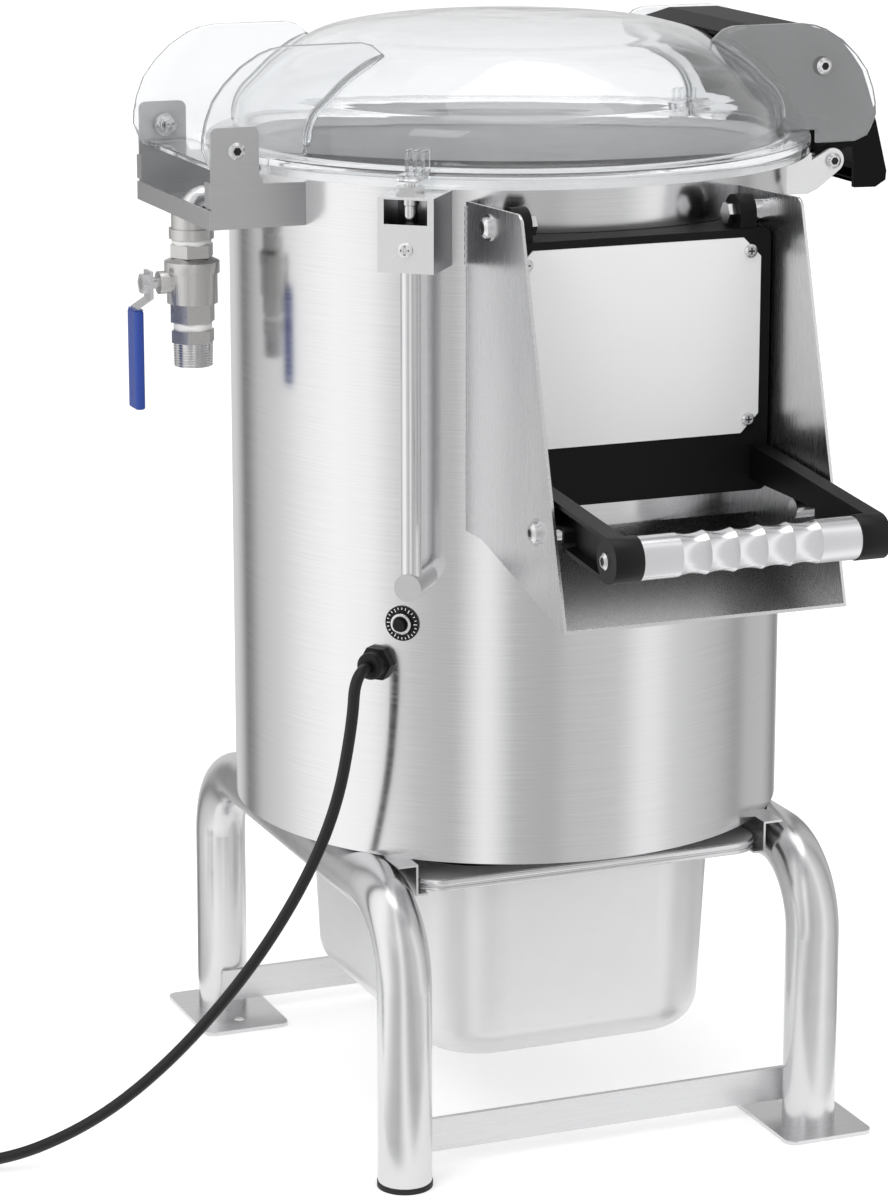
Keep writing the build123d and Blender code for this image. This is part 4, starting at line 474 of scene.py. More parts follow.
# Finishes of the CAD nodes that show as they are
CAD_FINISH = {
    "drum_shell": steel_round,
    "base_plate": steel_x,
    "chamber_floor": steel_x,
    "abrasive_liner": grit,
    "chute": cheek_steel,
    "leg_frames": satin_steel,
    "crossbars": steel_x,
    "pan_rails": steel_y,
    "floor_plates": steel_x,
    "foot_caps": rubber,
    "peel_pan": pan_steel,
    "peeling_disc": grit,
    "main_shaft": bright,
    "bearing_housing": cast_iron,
    "shaft_bearings": bright,
    "shaft_seal": rubber,
    "large_pulley": cast_iron,
    "motor_pulley": cast_iron,
    "drive_belt": rubber,
    "motor": motor_paint,
    "motor_shaft": bright,
    "motor_mount": steel_x,
    "drain_outlet": steel_z,
    "door_frame": black_soft,
    "door_panel": panel_steel,
    "door_liner": steel_z,
    "door_screws": bright,
    "door_seal": grey_seal,
    "door_hinge_bolts": bright,
    "stop_pins": bright,
    "handle_arms": black_satin,
    "handle_grip": grip_metal,
    "handle_screws": bright,
    "lid_seal": clear_seal,
    "hinge_bracket": bracket_steel,
    "hinge_screws": bright,
    "hinge_nuts": bright,
    "latch_arms": box_steel,
    "latch_bolt": bright,
    "latch_handle": latch_black,
    "latch_screws": bright,
    "valve_socket": cast_valve,
    "valve_body": cast_valve,
    "valve_nipple": cast_valve,
    "valve_ball": bright,
    "valve_lever": steel_z,
    "lever_sleeve": blue_dip,
    "spray_pipe": satin_steel,
    "switch_box": box_steel,
    "switch_plunger": bright,
    "plunger_guide": bright,
    "micro_switch": black_soft,
    "conduit": satin_steel,
    "reset_breaker": black_satin,
    "reset_button": black_satin,
    "cable_gland": black_satin,
    "mains_plug": cord_skin,
}

# Rounding in millimetres of the edges that catch light
EDGE_ROUND = {
    "chute": 0.4,
    "hinge_bracket": 0.4,
    "switch_box": 0.5,
    "floor_plates": 0.5,
    "crossbars": 0.5,
    "door_frame": 0.8,
    "handle_arms": 0.7,
    "latch_handle": 0.8,
    "latch_arms": 0.4,
    "valve_body": 0.5,
    "foot_caps": 0.5,
    "cable_gland": 0.5,
    "lever_sleeve": 2.4,
}


def dress_cad():
    """Gives each CAD node its finish, and rounds its edges where a rounding is listed."""
    for name, material in CAD_FINISH.items():
        obj = nodes[name]
        obj.data.materials.clear()
        obj.data.materials.append(material)
        obj.data.polygons.foreach_set("material_index", [0] * len(obj.data.polygons))
        if name in EDGE_ROUND:
            obj.modifiers.new("weld", "WELD").merge_threshold = WELD_GAP * MM
            soften(obj, EDGE_ROUND[name])


def dress_faces(name, material, picked):
    """Second finish on the faces that a test of their normals and centres picks."""
    mesh = nodes[name].data
    mesh.materials.append(material)
    normal, centre = np.empty((2, len(mesh.polygons) * 3))
    mesh.polygons.foreach_get("normal", normal)
    mesh.polygons.foreach_get("center", centre)
    chosen = picked(normal.reshape(-1, 3), centre.reshape(-1, 3))
    mesh.polygons.foreach_set("material_index", chosen.astype(int))


# Scalar product, in metres, below which a normal is taken to look at the axis
LOOKS_IN_DRUM, LOOKS_IN_PAN = -0.02, -0.005
LOOKS_UP, PAN_RIM_LOW, LOOKS_ALONG = 0.3, 0.195, 0.95


def inward(normal, centre):
    """Scalar product of each face's normal and centre in plan: below zero if it looks in."""
    return (normal[:, :2] * centre[:, :2]).sum(axis=1)


def in_drum(normal, centre):
    """The drum's inside: the faces whose normals look at its axis."""
    return inward(normal, centre) < LOOKS_IN_DRUM


def in_pan(normal, centre):
    """The pan's inside, which gets the painted shade: the faces that look at its middle, or up
    from below its rim.
    """
    floor = (normal[:, 2] > LOOKS_UP) & (centre[:, 2] < PAN_RIM_LOW)
    return (inward(normal, centre) < LOOKS_IN_PAN) | floor


def on_box_flank(normal, centre):
    """The switch box's flanks, which get the painted shade: the faces that look along the drum's
    skin.
    """
    turn = math.radians(SWITCH_TURN)
    along = normal @ np.array([math.cos(turn), math.sin(turn), 0.0])
    return np.abs(along) > LOOKS_ALONG


dress_cad()
# Painted light on the drum's inside: a paler copy of its steel
dress_faces("drum_shell", bore_steel, in_drum)
# Painted shade in the pan's hollow: a darker copy of its steel
dress_faces("peel_pan", pan_inside, in_pan)
# Painted shade on the switch box's flanks: a darker copy of its steel
dress_faces("switch_box", box_flank, on_box_flank)
cord.data.materials.append(cord_skin)


# Clear lid: half section of its dome, from the foot to the crown, as (radius, height)
DOME_POINTS = [
    (195.5, 712.0),
    (194.6, 721.0),
    (192.4, 729.0),
    (187.8, 736.2),
    (181.7, 742.0),
    (168.5, 755.0),
    (152.3, 766.7),
    (139.0, 774.2),
    (125.0, 778.8),
    (100.0, 783.0),
    (60.0, 786.0),
    (25.0, 786.9),
    (0.0, 787.0),
]
DOME_ROWS, DOME_STEPS, EAR_ROWS, CURVE_STEPS = 70, 256, 60, 24
BEAD_R, LIP_R, LIP_WALL = 2.4, 0.9, 3.5


def smooth_line(points, count):
    """Even points along a cubic curve through the given points.

    The curve's slope at each point is half the step between its two neighbours. It is
    measured in short steps, and the points are then set at equal lengths along it.
    """
    points = np.asarray(points, float)
    ends = np.vstack([2 * points[0] - points[1], points, 2 * points[-1] - points[-2]])
    p0, p1, p2, p3 = (ends[i : len(ends) - 3 + i, None] for i in range(4))
    t = np.linspace(0, 1, CURVE_STEPS, endpoint=False)[None, :, None]
    square = (2 * p0 - 5 * p1 + 4 * p2 - p3) * t * t
    cube = (3 * p1 - p0 - 3 * p2 + p3) * t**3
    line = 0.5 * (2 * p1 + (p2 - p0) * t + square + cube)
    line = np.vstack([line.reshape(-1, 2), points[-1:]])
    run = np.r_[0, np.cumsum(np.hypot(*np.diff(line, axis=0).T))]
    even = np.linspace(0, run[-1], count)
    return np.stack([np.interp(even, run, line[:, k]) for k in (0, 1)], axis=1)


def arc(x, y, radius, start, end, count):
    """Points of an arc: centre plus radius times cosine and sine, angles in degrees."""
    angle = np.radians(np.linspace(start, end, count))
    return np.stack([x + radius * np.cos(angle), y + radius * np.sin(angle)], axis=1)


def lid_profile():
    """Closed half section of the lid: dome, cove, flange with its bead, and hanging lip.

    The dome's inside is its outside moved inwards by the wall, square to the curve.
    """
    outer = smooth_line(DOME_POINTS, DOME_ROWS)[::-1]
    step = np.gradient(outer, axis=0)
    normal = np.stack([-step[:, 1], step[:, 0]], axis=1)
    normal /= np.hypot(normal[:, 0], normal[:, 1])[:, None]
    normal *= np.sign(normal[len(normal) // 2, 1]) * -1
    inner = outer + normal * DOME_WALL
    inner[0, 0] = 0.0
    return np.vstack(
        [
            outer,
            arc(DOME_R + COVE_R, FLANGE_TOP + COVE_R, COVE_R, 180, 270, 8)[1:],
            arc(FLANGE_R - BEAD_R, FLANGE_TOP - BEAD_R, BEAD_R, 90, 0, 8),
            arc(FLANGE_R - LIP_R, LIP_FOOT, LIP_R, 0, -90, 5),
            arc(FLANGE_R - LIP_WALL + LIP_R, LIP_FOOT, LIP_R, -90, -180, 5),
            [(FLANGE_R - LIP_WALL, FLANGE_UNDER), (DOME_R - DOME_WALL, FLANGE_UNDER)],
            inner[::-1],
        ]
    )


def make_lid():
    lid = spun("clear_dome", lid_profile(), clear, "lid", steps=DOME_STEPS)
    seal(lid)
    return lid


# Side view of an ear away from the dome, as (x, height)
EAR_POINTS = [
    (207.0, 695.0),
    (238.6, 695.0),
    (248.0, 698.7),
    (251.5, 704.6),
    (255.0, 713.5),
    (254.6, 722.0),
    (252.4, 732.3),
    (247.3, 745.5),
    (238.6, 757.0),
    (227.0, 768.0),
    (214.0, 776.0),
    (205.0, 779.3),
    (194.0, 781.0),
    (140.0, 781.0),
    (132.0, 778.8),
]
EAR_START_X, EAR_FOOT_Z, EAR_SINK, EAR_TOP_Z = 124.0, 704.5, 1.2, 775.0
EAR_ROUND, RIB_R, RIB_SINK, RIB_TOP_Z = 1.3, 3.7, 0.6, 777.0


def dome_cut(sink, top):
    """Where the dome, sunk by some mm, meets an ear's plane: x is the root of the radius
    squared less the plane's distance squared. Points (x, height) from the foot up."""
    r, z = smooth_line(DOME_POINTS, EAR_ROWS).T
    kept = (r * r - EAR_SIDE * EAR_SIDE > EAR_START_X**2) & (z < top)
    return np.stack([np.sqrt((r[kept] - sink) ** 2 - EAR_SIDE**2), z[kept]], axis=1)


def ear_outline():
    """Side view of an ear; its inner edge follows the dome just under its skin."""
    edge = dome_cut(EAR_SINK, EAR_TOP_Z)[::-1]
    edge = edge[edge[:, 1] > FLANGE_TOP + COVE_R]
    foot_x = math.sqrt((DOME_R - EAR_SINK) ** 2 - EAR_SIDE**2)
    return np.vstack([EAR_POINTS, edge, [(foot_x, EAR_FOOT_Z), (EAR_POINTS[0][0], EAR_FOOT_Z)]])


def make_ear(name, side_x, side_y):
    """Flat clear plate with rounded edges between the dome and the hinge or latch."""
    x, z = ear_outline()[::side_x].T
    near, far = sorted((side_y * (EAR_SIDE - EAR_HALF), side_y * (EAR_SIDE + EAR_HALF)))
    verts = np.vstack([np.stack([side_x * x, np.full(len(x), y), z], axis=1) for y in (near, far)])
    count = len(x)
    i = np.arange(count)
    k = (i + 1) % count
    faces = [i.tolist(), (i[::-1] + count).tolist()]
    faces += np.stack([i, i + count, k + count, k], axis=1).tolist()
    ear = mesh_object(name, verts, faces, clear_plate, "lid", smooth=False)
    seal(ear)
    soften(ear, EAR_ROUND, angle=50.0, segments=3)


def box_mesh(name, size, centre, material, body, turn=0.0, width=0.4):
    """Bevelled block: size and centre in a frame turned about the drum's axis."""
    corners = np.stack(np.meshgrid([-1, 1], [-1, 1], [-1, 1], indexing="ij"), axis=-1)
    corners = corners.reshape(-1, 3) * np.array(size) / 2 + np.array(centre)
    a = math.radians(turn)
    spin = np.array([[math.cos(a), -math.sin(a), 0], [math.sin(a), math.cos(a), 0], [0, 0, 1]])
    faces = [(0, 1, 3, 2), (4, 6, 7, 5), (0, 4, 5, 1), (2, 3, 7, 6), (0, 2, 6, 4), (1, 5, 7, 3)]
    obj = mesh_object(name, corners @ spin.T, faces, material, body, smooth=False)
    soften(obj, width, segments=3)


LUG_FOOT, LUG_FOOT_PLACE = (15, 29, 4.5), (0, -220.5, 702.3)
LUG_RIB, LUG_RIB_Y, LUG_RIB_Z, LUG_RIB_GAP, LUG_RIB_ROUND = (2.6, 13, 15), -212.5, 711.3, 5.6, 0.8


def make_lugs():
    """Two clear lugs on the lid's flange: a foot and three upright ribs each."""
    for label, azimuth in (("front", SWITCH_TURN), ("rear", REAR_LUG_TURN)):
        box_mesh(f"lug_{label}_foot", LUG_FOOT, LUG_FOOT_PLACE, clear, "lid", azimuth)
        for i in range(3):
            place = ((i - 1) * LUG_RIB_GAP, LUG_RIB_Y, LUG_RIB_Z)
            name = f"lug_{label}_rib_{i}"
            box_mesh(name, LUG_RIB, place, clear, "lid", azimuth, LUG_RIB_ROUND)


def tube_mesh(name, path, radius, material, body, steps=16):
    """Round tube: each point of the path plus its radius times cosine and sine of the turn
    along two directions square to the path."""
    path = np.asarray(path, float)
    radius = np.broadcast_to(np.asarray(radius, float), len(path))
    way = np.gradient(path, axis=0)
    way /= np.linalg.norm(way, axis=1)[:, None]
    hint = np.array([0.0, 0, 1]) if np.abs(way[:, 2]).max() < 0.9 else np.array([0.0, 1, 0])
    side = np.cross(way, hint)
    side /= np.linalg.norm(side, axis=1)[:, None]
    up = np.cross(way, side)
    turn = turns_of(steps)[None, :, None]
    ring = np.cos(turn) * side[:, None] + np.sin(turn) * up[:, None]
    verts = (path[:, None] + radius[:, None, None] * ring).reshape(-1, 3)
    faces = grid_faces(len(path), steps)
    faces += [list(range(steps))[::-1], list(range(len(verts) - steps, len(verts)))]
    return mesh_object(name, verts, faces, material, body)


def make_rib(name, side_x, side_y):
    """Clear fillet where an ear meets the dome: a tube along their joint, whose radius
    grows with the root of the distance from its ends until it is full."""
    x, z = dome_cut(RIB_SINK, RIB_TOP_Z).T
    path = np.stack([side_x * x, np.full(len(x), side_y * EAR_SIDE), z], axis=1)
    share = np.linspace(0, 1, len(path))
    radius = RIB_R * np.minimum(1, 6 * np.minimum(share + 0.08, 1 - share + 0.03)) ** 0.5
    tube_mesh(name, path, radius, clear, "lid")


def axis_frame(axis):
    """Axis and two directions square to it."""
    axis = np.asarray(axis, float) / np.linalg.norm(axis)
    hint = np.array([0.0, 0, 1]) if abs(axis[2]) < 0.9 else np.array([1.0, 0, 0])
    across = np.cross(hint, axis)
    across /= np.linalg.norm(across)
    return axis, across, np.cross(axis, across)


RECESS_STEPS, RECESS_DEPTH, SLOT_SHARE = 96, 0.4, 0.19


def recess(name, centre, axis, radius, body, arms=6):
    """Nearly black disc of painted shade at the bottom of a screw's recess, sunk at its middle.

    Its edge is a hexagon, the inner radius over the cosine of the angle from a side's
    middle, or a cross, whose four arms have straight sides.
    """
    axis, across, up = axis_frame(axis)
    angle = turns_of(RECESS_STEPS)
    if arms == 6:
        side = angle % (TAU / 6) - TAU / 12
        edge = radius * math.cos(TAU / 12) / np.cos(side)
    else:
        off = TAU / 8 - np.abs(angle % (TAU / 4) - TAU / 8)
        tip = radius / np.maximum(np.cos(off), 1e-6)
        edge = np.minimum(tip, SLOT_SHARE * radius / np.maximum(np.sin(off), 1e-6))
    ring = np.cos(angle)[:, None] * across + np.sin(angle)[:, None] * up
    star = ring * edge[:, None]
    sunk = np.asarray(centre, float) - axis * RECESS_DEPTH
    verts = np.vstack([sunk, sunk + (axis * RECESS_DEPTH + star) / 2, centre + star])
    i = np.arange(RECESS_STEPS)
    k = (i + 1) % RECESS_STEPS
    far = 1 + RECESS_STEPS
    faces = np.stack([0 * i, 1 + i, 1 + k], axis=1).tolist()
    faces += np.stack([1 + i, far + i, far + k, 1 + k], axis=1).tolist()
    # The disc is painted shade: its finish is nearly black
    mesh_object(name, verts, faces, recess_dark, body)


def round_place(azimuth, radius, height):
    """Point and outward direction at an azimuth round the drum, from its front."""
    a = math.radians(azimuth)
    way = np.array([math.sin(a), -math.cos(a), 0.0])
    return way * radius + np.array([0, 0, height]), way


def make_recesses():
    """Painted shade in the sockets and cross slots of the screws: a dark disc in each, just proud
    of its screw's head.
    """
    for i, x in enumerate((-82.0, 82.0)):
        for j, z in enumerate((532.1, 647.4)):
            recess(f"panel_slot_shade_{i}{j}", (x, -228.2, z), (0, -1, 0), 2.9, "door", arms=4)
    place, way = round_place(SWITCH_TURN, 241.1, 655.5)
    recess("box_slot_shade", place, way, 3.2, "machine", arms=4)
    for i, y in enumerate((-1, 1)):
        out = (0, y, 0)
        recess(f"hinge_socket_{i}", (HINGE_X, y * 82.3, HINGE_Z), out, 3.1, "machine")
        recess(f"ear_socket_shade_{i}", (211.2, y * 79.8, 750.1), out, 3.3, "lid")
        recess(f"bolt_socket_shade_{i}", (222.2, y * 76.7, 681.5), out, 2.8, "machine")
    for i, x in enumerate((-1, 1)):
        out = (x, 0, 0)
        recess(f"cheek_socket_shade_{i}", (x * 106.7, -210.7, 671.5), out, 3.0, "machine")
        recess(f"stop_socket_shade_{i}", (x * 106.7, -292.9, 483.3), out, 3.0, "machine")
        recess(f"grip_socket_shade_{i}", (x * 99.7, -392.4, 485.9), out, 2.8, "door")


# Rows of a hinge nut as (radius, height, hexagonal or not): washer, hexagon, collar, and
# the screw's end in its bore
NUT_ROWS = [
    (0.0, 0.0, 0),
    (8.0, 0.0, 0),
    (8.0, 1.0, 0),
    (6.5, 1.05, 1),
    (6.6, 4.2, 1),
    (5.9, 4.8, 1),
    (5.0, 4.9, 0),
    (4.6, 6.2, 0),
    (3.2, 6.4, 0),
    (3.1, 5.2, 0),
    (2.9, 5.2, 0),
    (2.8, 6.8, 0),
    (1.7, 7.0, 0),
    (1.6, 5.9, 0),
    (0.0, 5.8, 0),
]
NUT_FACE, NUT_FLAT_R, NUT_STEPS = 72.6, 5.6, 96


def make_hinge_nut(name, side_y):
    """Hinge nut turned about its screw: a row's radius, cut off by the hexagon's flats,
    which lie at the flat radius over the cosine of the angle from a flat's middle."""
    radius, out, flat = np.array(NUT_ROWS).T[:, :, None]
    turn = turns_of(NUT_STEPS)
    hexagon = NUT_FLAT_R / np.cos(turn % (TAU / 6) - TAU / 12)
    r = np.where(flat > 0, np.minimum(radius, hexagon), radius)
    y = np.broadcast_to(side_y * (NUT_FACE - out), r.shape)
    verts = np.stack([HINGE_X + r * np.cos(turn), y, HINGE_Z + r * np.sin(turn)], axis=-1)
    faces = grid_faces(len(NUT_ROWS), NUT_STEPS)
    nut = mesh_object(name, verts.reshape(-1, 3), faces, nut_steel, "machine", smooth=False)
    seal(nut)


TAPES = (("upper", 637.6, 642.4, 13.6), ("lower", 577.4, 583.6, 13.2))
TAPE_BORE_R, TAPE_SWELL, TAPE_STEPS = 11, 0.35, 64
THREAD_LOW, THREAD_HIGH, THREAD_PITCH = 552.4, 569.0, 1.81
THREAD_R, THREAD_TAPER, THREAD_DEPTH, THREAD_BORE_R = 13.7, 0.5, 0.95, 12.0
THREAD_STEPS, THREAD_ROWS = 64, 110


def make_valve_trim():
    """White tape in the two threaded joints, and the helical thread on the nipple.

    The thread's radius swings with the share of a pitch: height over pitch less the turn.
    It grows by its taper from bottom to top.
    """
    for label, low, high, radius in TAPES:
        inner, mid = TAPE_BORE_R, (low + high) / 2
        profile = [
            (inner, low), (radius, low), (radius + TAPE_SWELL, mid), (radius, high), (inner, high)
        ]
        place = (VALVE_X, 0, 0)
        name = f"tape_{label}"
        seal(spun(name, profile, tape_white, "machine", place, TAPE_STEPS, closed=True))
    turn = turns_of(THREAD_STEPS)
    height = np.linspace(THREAD_LOW, THREAD_HIGH, THREAD_ROWS)[:, None]
    phase = (height / THREAD_PITCH - turn / TAU) % 1.0
    share = (height - THREAD_LOW) / (THREAD_HIGH - THREAD_LOW)
    radius = THREAD_R + THREAD_TAPER * share - THREAD_DEPTH * np.abs(2 * phase - 1)
    inner = np.full((1, THREAD_STEPS), THREAD_BORE_R)
    radius = np.vstack([inner, radius, inner, inner])
    height = np.vstack([height[:1], height, height[-1:], height[:1]])
    height = np.repeat(height, THREAD_STEPS, axis=1)
    x, y = VALVE_X + radius * np.cos(turn), radius * np.sin(turn)
    verts = np.stack([x, y, height], axis=-1).reshape(-1, 3)
    faces = grid_faces(len(radius), THREAD_STEPS)
    seal(mesh_object("nipple_thread", verts, faces, bright, "machine"))


RESET_FACE_R, RESET_Z = 200.3, 390.2
TICKS, TICK_R, TICK_LONG, TICK_SHORT, TICK_HALF = 24, 11.3, 2.6, 1.5, 0.3
KNURL_STEPS, KNURLS, KNURL_HEIGHT = 72, 36, 0.18
# Rows of the knurled nut as (radius, height, knurled or not)
KNURL_ROWS = [
    (7.5, 0.0, 1),
    (7.5, 2.2, 1),
    (6.9, 3.1, 0),
    (4.9, 3.15, 0),
    (4.7, 2.4, 0),
    (4.7, 0.0, 0),
    (7.5, 0.0, 1),
]


def make_reset_face():
    """Plain ticks round the reset ring and a bright knurled nut round its button.

    A tick is a flat bar along the radius, every fourth one longer. The nut's radius swings
    with the cosine of the turn times the number of knurls.
    """
    face, way = round_place(RESET_TURN, RESET_FACE_R, RESET_Z)
    axis, across, up = axis_frame(way)
    turn = turns_of(TICKS)[:, None]
    out = np.cos(turn) * across + np.sin(turn) * up
    side = np.cross(axis, out)
    inner = TICK_R - np.where(np.arange(TICKS) % 4 == 0, TICK_LONG, TICK_SHORT)
    outer = np.full(TICKS, TICK_R)
    reach = np.stack([inner, outer, outer, inner], axis=1)[..., None]
    half = TICK_HALF * np.array([-1, -1, 1, 1])[None, :, None]
    verts = (face + out[:, None] * reach + side[:, None] * half).reshape(-1, 3)
    faces = np.arange(TICKS * 4).reshape(-1, 4).tolist()
    mesh_object("reset_ticks", verts, faces, tick_white, "machine", smooth=False)
    radius, high, wave = np.array(KNURL_ROWS).T[:, :, None]
    turn = turns_of(KNURL_STEPS)
    radius = (radius + wave * KNURL_HEIGHT * np.cos(turn * KNURLS))[..., None]
    ring = np.cos(turn)[:, None] * across + np.sin(turn)[:, None] * up
    verts = (face + high[..., None] * axis + radius * ring).reshape(-1, 3)
    faces = grid_faces(len(KNURL_ROWS), KNURL_STEPS)
    seal(mesh_object("reset_nut", verts, faces, bright, "machine"))


# Beads of the pan's rim: name, inset from the edge, height and radius
PAN_BEADS = (("upper", 0.7, 205.5, 2.5), ("lower", 0.5, 200.9, 1.7))
BEAD_TURNS = ((212, 270), (270, 328))


def make_pan_rim():
    """Rolled rim across the pan's front: two beads along the edge and round its corners,
    each a quarter arc or less at both ends of a straight run."""
    x, y = PAN_HALF_X - PAN_CORNER, PAN_CORNER - PAN_HALF_Y
    for label, inset, height, radius in PAN_BEADS:
        corner = PAN_CORNER - inset
        left = arc(-x, y, corner, *BEAD_TURNS[0], 12)
        right = arc(x, y, corner, *BEAD_TURNS[1], 12)
        plan = np.vstack([left, right])
        path = np.column_stack([plan, np.full(len(plan), height)])
        tube_mesh(f"pan_rim_{label}", path, radius, satin_steel, "pan")


WELD_FOOT, WELD_TOP, WELD_ROWS, WELD_PITCH = 472, 680, 420, 5.6
WELD_R, WELD_SWELL, WELD_OUT = 0.45, 0.5, 0.3


def make_weld():
    """Row of small weld beads down each cheek's root: a thin bar whose radius swells with
    the sine of its height over the pitch."""
    z = np.linspace(WELD_FOOT, WELD_TOP, WELD_ROWS)
    y = -math.sqrt((DRUM_R + WELD_OUT) ** 2 - CHEEK_X**2)
    radius = WELD_R + WELD_SWELL * np.abs(np.sin(z * math.pi / WELD_PITCH))
    for i, side in enumerate((-1, 1)):
        path = np.stack([np.full(len(z), side * CHEEK_X), np.full(len(z), y), z], axis=1)
        tube_mesh(f"cheek_weld_{i}", path, radius, satin_steel, "machine", steps=10)


BUSHING_R_OUT, BUSHING_STEPS = 228.0, 64
BUSHING_ROWS = [(4.6, 673.0), (5.2, 673.6), (5.2, 684.0), (4.7, 684.6)]


def make_bushing():
    """Stepped bushing on the lid switch's plunger, seen through the box's window."""
    place = tuple(round_place(SWITCH_TURN, BUSHING_R_OUT, 0.0)[0])
    ring = spun(
        "plunger_bushing", BUSHING_ROWS, bright, "plunger", place, BUSHING_STEPS, closed=True
    )
    seal(ring)


CORNERS = [
    (f"{a}_{b}", side_x, side_y)
    for a, side_x in (("hinge", -1), ("latch", 1))
    for b, side_y in (("front", -1), ("rear", 1))
]
TAIL_BAR, TAIL_PLACE, TAIL_ROUND = (33, 146, 4), (-228.5, 0, 699.0), 1.0

lid = make_lid()
for corner, side_x, side_y in CORNERS:
    make_ear(f"ear_{corner}", side_x, side_y)
box_mesh("tail_bar", TAIL_BAR, TAIL_PLACE, clear, "lid", width=TAIL_ROUND)
make_lugs()
for corner, side_x, side_y in CORNERS:
    make_rib(f"ear_rib_{corner}", side_x, side_y)
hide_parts("lid")
make_recesses()
make_hinge_nut("hinge_nut_front", -1)
make_hinge_nut("hinge_nut_rear", 1)
make_valve_trim()
make_reset_face()
make_pan_rim()
make_weld()
make_bushing()


# Floor, backdrop and light, in metres
FLOOR_HALF, FLOOR_TONE, FLOOR_ROUGH, FLOOR_LIFT = 30.0, 0.82, 0.9, 0.42
WHITE = (1.0, 1.0, 1.0, 1.0)


def seen_plainly(tree):
    """1 for camera, glossy and transmission rays, else 0: the largest of the three."""
    path = put(tree, "ShaderNodeLightPath").outputs
    rays = {0: path["Is Camera Ray"], 1: path["Is Glossy Ray"]}
    two = put(tree, "ShaderNodeMath", rays, operation="MAXIMUM").outputs[0]
    rays = {0: two, 1: path["Is Transmission Ray"]}
    return put(tree, "ShaderNodeMath", rays, operation="MAXIMUM").outputs[0]


def stage_object(name, verts, faces, material):
    """Piece of the studio, which isn't part of the object."""
    mesh = bpy.data.meshes.new(name)
    mesh.from_pydata(verts, [], faces)
    obj = bpy.data.objects.new(name, mesh)
    bpy.context.scene.collection.objects.link(obj)
    mesh.materials.append(material)
    return obj


def make_floor():
    """Matt pale floor that the eye, metal and clear plastic see as white, with shadows."""
    mat = bpy.data.materials.new("pale_floor")
    mat.use_nodes = True
    tree = mat.node_tree
    shader = tree.nodes["Principled BSDF"]
    shader.inputs["Base Color"].default_value = (FLOOR_TONE, FLOOR_TONE, FLOOR_TONE, 1)
    shader.inputs["Roughness"].default_value = FLOOR_ROUGH
    shader.inputs["Specular IOR Level"].default_value = 0.0
    shader.inputs["Emission Color"].default_value = WHITE
    factors = {0: seen_plainly(tree), 1: FLOOR_LIFT}
    lift = put(tree, "ShaderNodeMath", factors, operation="MULTIPLY").outputs[0]
    tree.links.new(lift, shader.inputs["Emission Strength"])
    h = FLOOR_HALF
    corners = [(-h, -h, 0), (h, -h, 0), (h, h, 0), (-h, h, 0)]
    stage_object("studio_floor", corners, [(0, 1, 2, 3)], mat)


# Cards of the light tent: degrees right of the camera's side, brightness on screen
TENT_CARDS = [
    (-180, 0.72),
    (-140, 0.76),
    (-133, 0.66),
    (-127, 0.40),
    (-120, 0.54),
    (-113, 0.71),
    (-95, 0.80),
    (-80, 0.91),
    (-66, 0.955),
    (-50, 0.93),
    (-42, 0.83),
    (-32, 0.73),
    (-18, 0.68),
    (-12, 0.84),
    (-8, 0.93),
    (-4, 0.89),
    (3, 0.69),
    (17, 0.66),
    (23, 0.725),
    (42, 0.75),
    (52, 0.89),
    (58, 0.88),
    (66, 0.79),
    (90, 0.69),
    (102, 0.57),
    (110, 0.69),
    (128, 0.69),
    (145, 0.44),
    (156, 0.70),
    (180, 0.72),
]
TENT_R, TENT_H, TENT_FOOT_R, TENT_LIFT, TENT_STEPS = 0.8, 2.4, 0.32, 0.0015, 120
TENT_GLOW = 1.6
# Share of the cards' light that brushed steel sends back
SHEET_TONE = 0.70
CAMERA_AZIMUTH = math.degrees(math.atan2(CAMERA_PLACE[1], CAMERA_PLACE[0]))


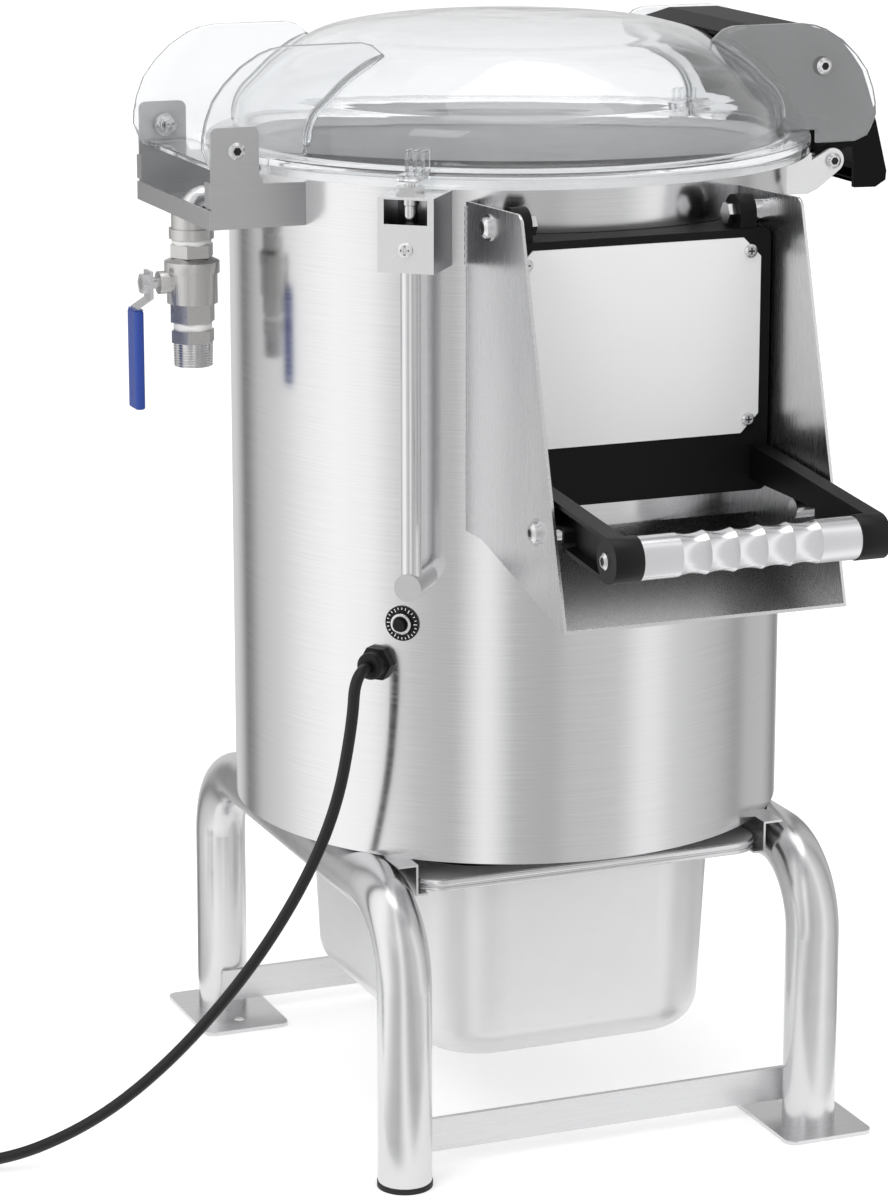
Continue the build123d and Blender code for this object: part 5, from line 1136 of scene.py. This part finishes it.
def tent_material():
    """Glow by the angle round the drum: the cards' levels, blended between their angles.

    The place is turned so that the camera's side lies at zero, its angle is the arctangent
    of y over x, and minus pi to pi becomes 0 to 1 along the ramp of cards.
    """
    mat = bpy.data.materials.new("tent_cards")
    mat.use_nodes = True
    tree = mat.node_tree
    tree.nodes.clear()
    place = put(tree, "ShaderNodeTexCoord").outputs["Object"]
    turn = (0, 0, math.radians(180 - CAMERA_AZIMUTH))
    turned = put(tree, "ShaderNodeMapping", {"Vector": place, "Rotation": turn})
    flipped = put(
        tree, "ShaderNodeVectorMath", {0: turned.outputs[0], "Scale": -1.0}, operation="SCALE"
    )
    part = put(tree, "ShaderNodeSeparateXYZ", {"Vector": flipped.outputs["Vector"]}).outputs
    angle = put(tree, "ShaderNodeMath", {0: part["Y"], 1: part["X"]}, operation="ARCTAN2")
    ends = {"Value": angle.outputs[0], "From Min": -math.pi, "From Max": math.pi}
    share = put(tree, "ShaderNodeMapRange", ends).outputs["Result"]
    ramp = put(tree, "ShaderNodeValToRGB", {"Fac": share})
    stops = ramp.color_ramp.elements
    stops.remove(stops[-1])
    for i, (side, level) in enumerate(TENT_CARDS):
        stop = stops[0] if i == 0 else stops.new((side + 180) / 360)
        stop.position = (side + 180) / 360
        level = linear(level) / SHEET_TONE / TENT_GLOW
        stop.color = (level, level, level, 1)
    glow = {"Color": ramp.outputs["Color"], "Strength": TENT_GLOW}
    emission = put(tree, "ShaderNodeEmission", glow).outputs[0]
    put(tree, "ShaderNodeOutputMaterial", {"Surface": emission})
    return mat


def make_tent():
    """Round wall of soft cards, and their foot on the floor, that only reflections see:
    three rings of points, each its radius times cosine and sine of the turn."""
    radius = np.array([TENT_FOOT_R, TENT_R, TENT_R])[:, None]
    height = np.array([TENT_LIFT, TENT_LIFT, TENT_H])[:, None]
    turn = turns_of(TENT_STEPS)
    high = np.repeat(height, TENT_STEPS, axis=1)
    verts = np.stack([radius * np.cos(turn), radius * np.sin(turn), high], axis=-1)
    faces = grid_faces(len(radius), TENT_STEPS)
    tent = stage_object("light_tent", verts.reshape(-1, 3).tolist(), faces, tent_material())
    tent.visible_camera = False
    tent.visible_diffuse = False
    tent.visible_transmission = False
    tent.visible_shadow = False
    tent.visible_volume_scatter = False


SKY_SOFT, SKY_SEEN = 0.82, 1.0


def make_world():
    """White behind and above the object; even soft light on it."""
    world = bpy.data.worlds.new("studio")
    bpy.context.scene.world = world
    world.use_nodes = True
    tree = world.node_tree
    tree.nodes.clear()
    soft = put(tree, "ShaderNodeBackground", {"Color": WHITE, "Strength": SKY_SOFT}).outputs[0]
    seen = put(tree, "ShaderNodeBackground", {"Color": WHITE, "Strength": SKY_SEEN}).outputs[0]
    mix = put(tree, "ShaderNodeMixShader", {0: seen_plainly(tree), 1: soft, 2: seen}).outputs[0]
    put(tree, "ShaderNodeOutputWorld", {"Surface": mix})


def make_lamp(name, place, target, size, power):
    """Square soft lamp that faces a target."""
    light = bpy.data.lights.new(name, "AREA")
    light.shape = "RECTANGLE"
    light.size = light.size_y = size
    light.energy = power
    lamp = bpy.data.objects.new(name, light)
    lamp.location = place
    aimed(lamp, Vector(target) - Vector(place))
    bpy.context.scene.collection.objects.link(lamp)


make_floor()
make_tent()
make_world()
LAMP_POWER = 18.0
make_lamp("key_softbox", (-2.2, -1.6, 2.4), (0, 0, 0.5), 1.2, LAMP_POWER)
make_lamp("top_softbox", (0.3, -0.4, 3.2), (0, 0, 0.4), 2.0, LAMP_POWER)

bpy.context.scene.view_settings.view_transform = "Standard"
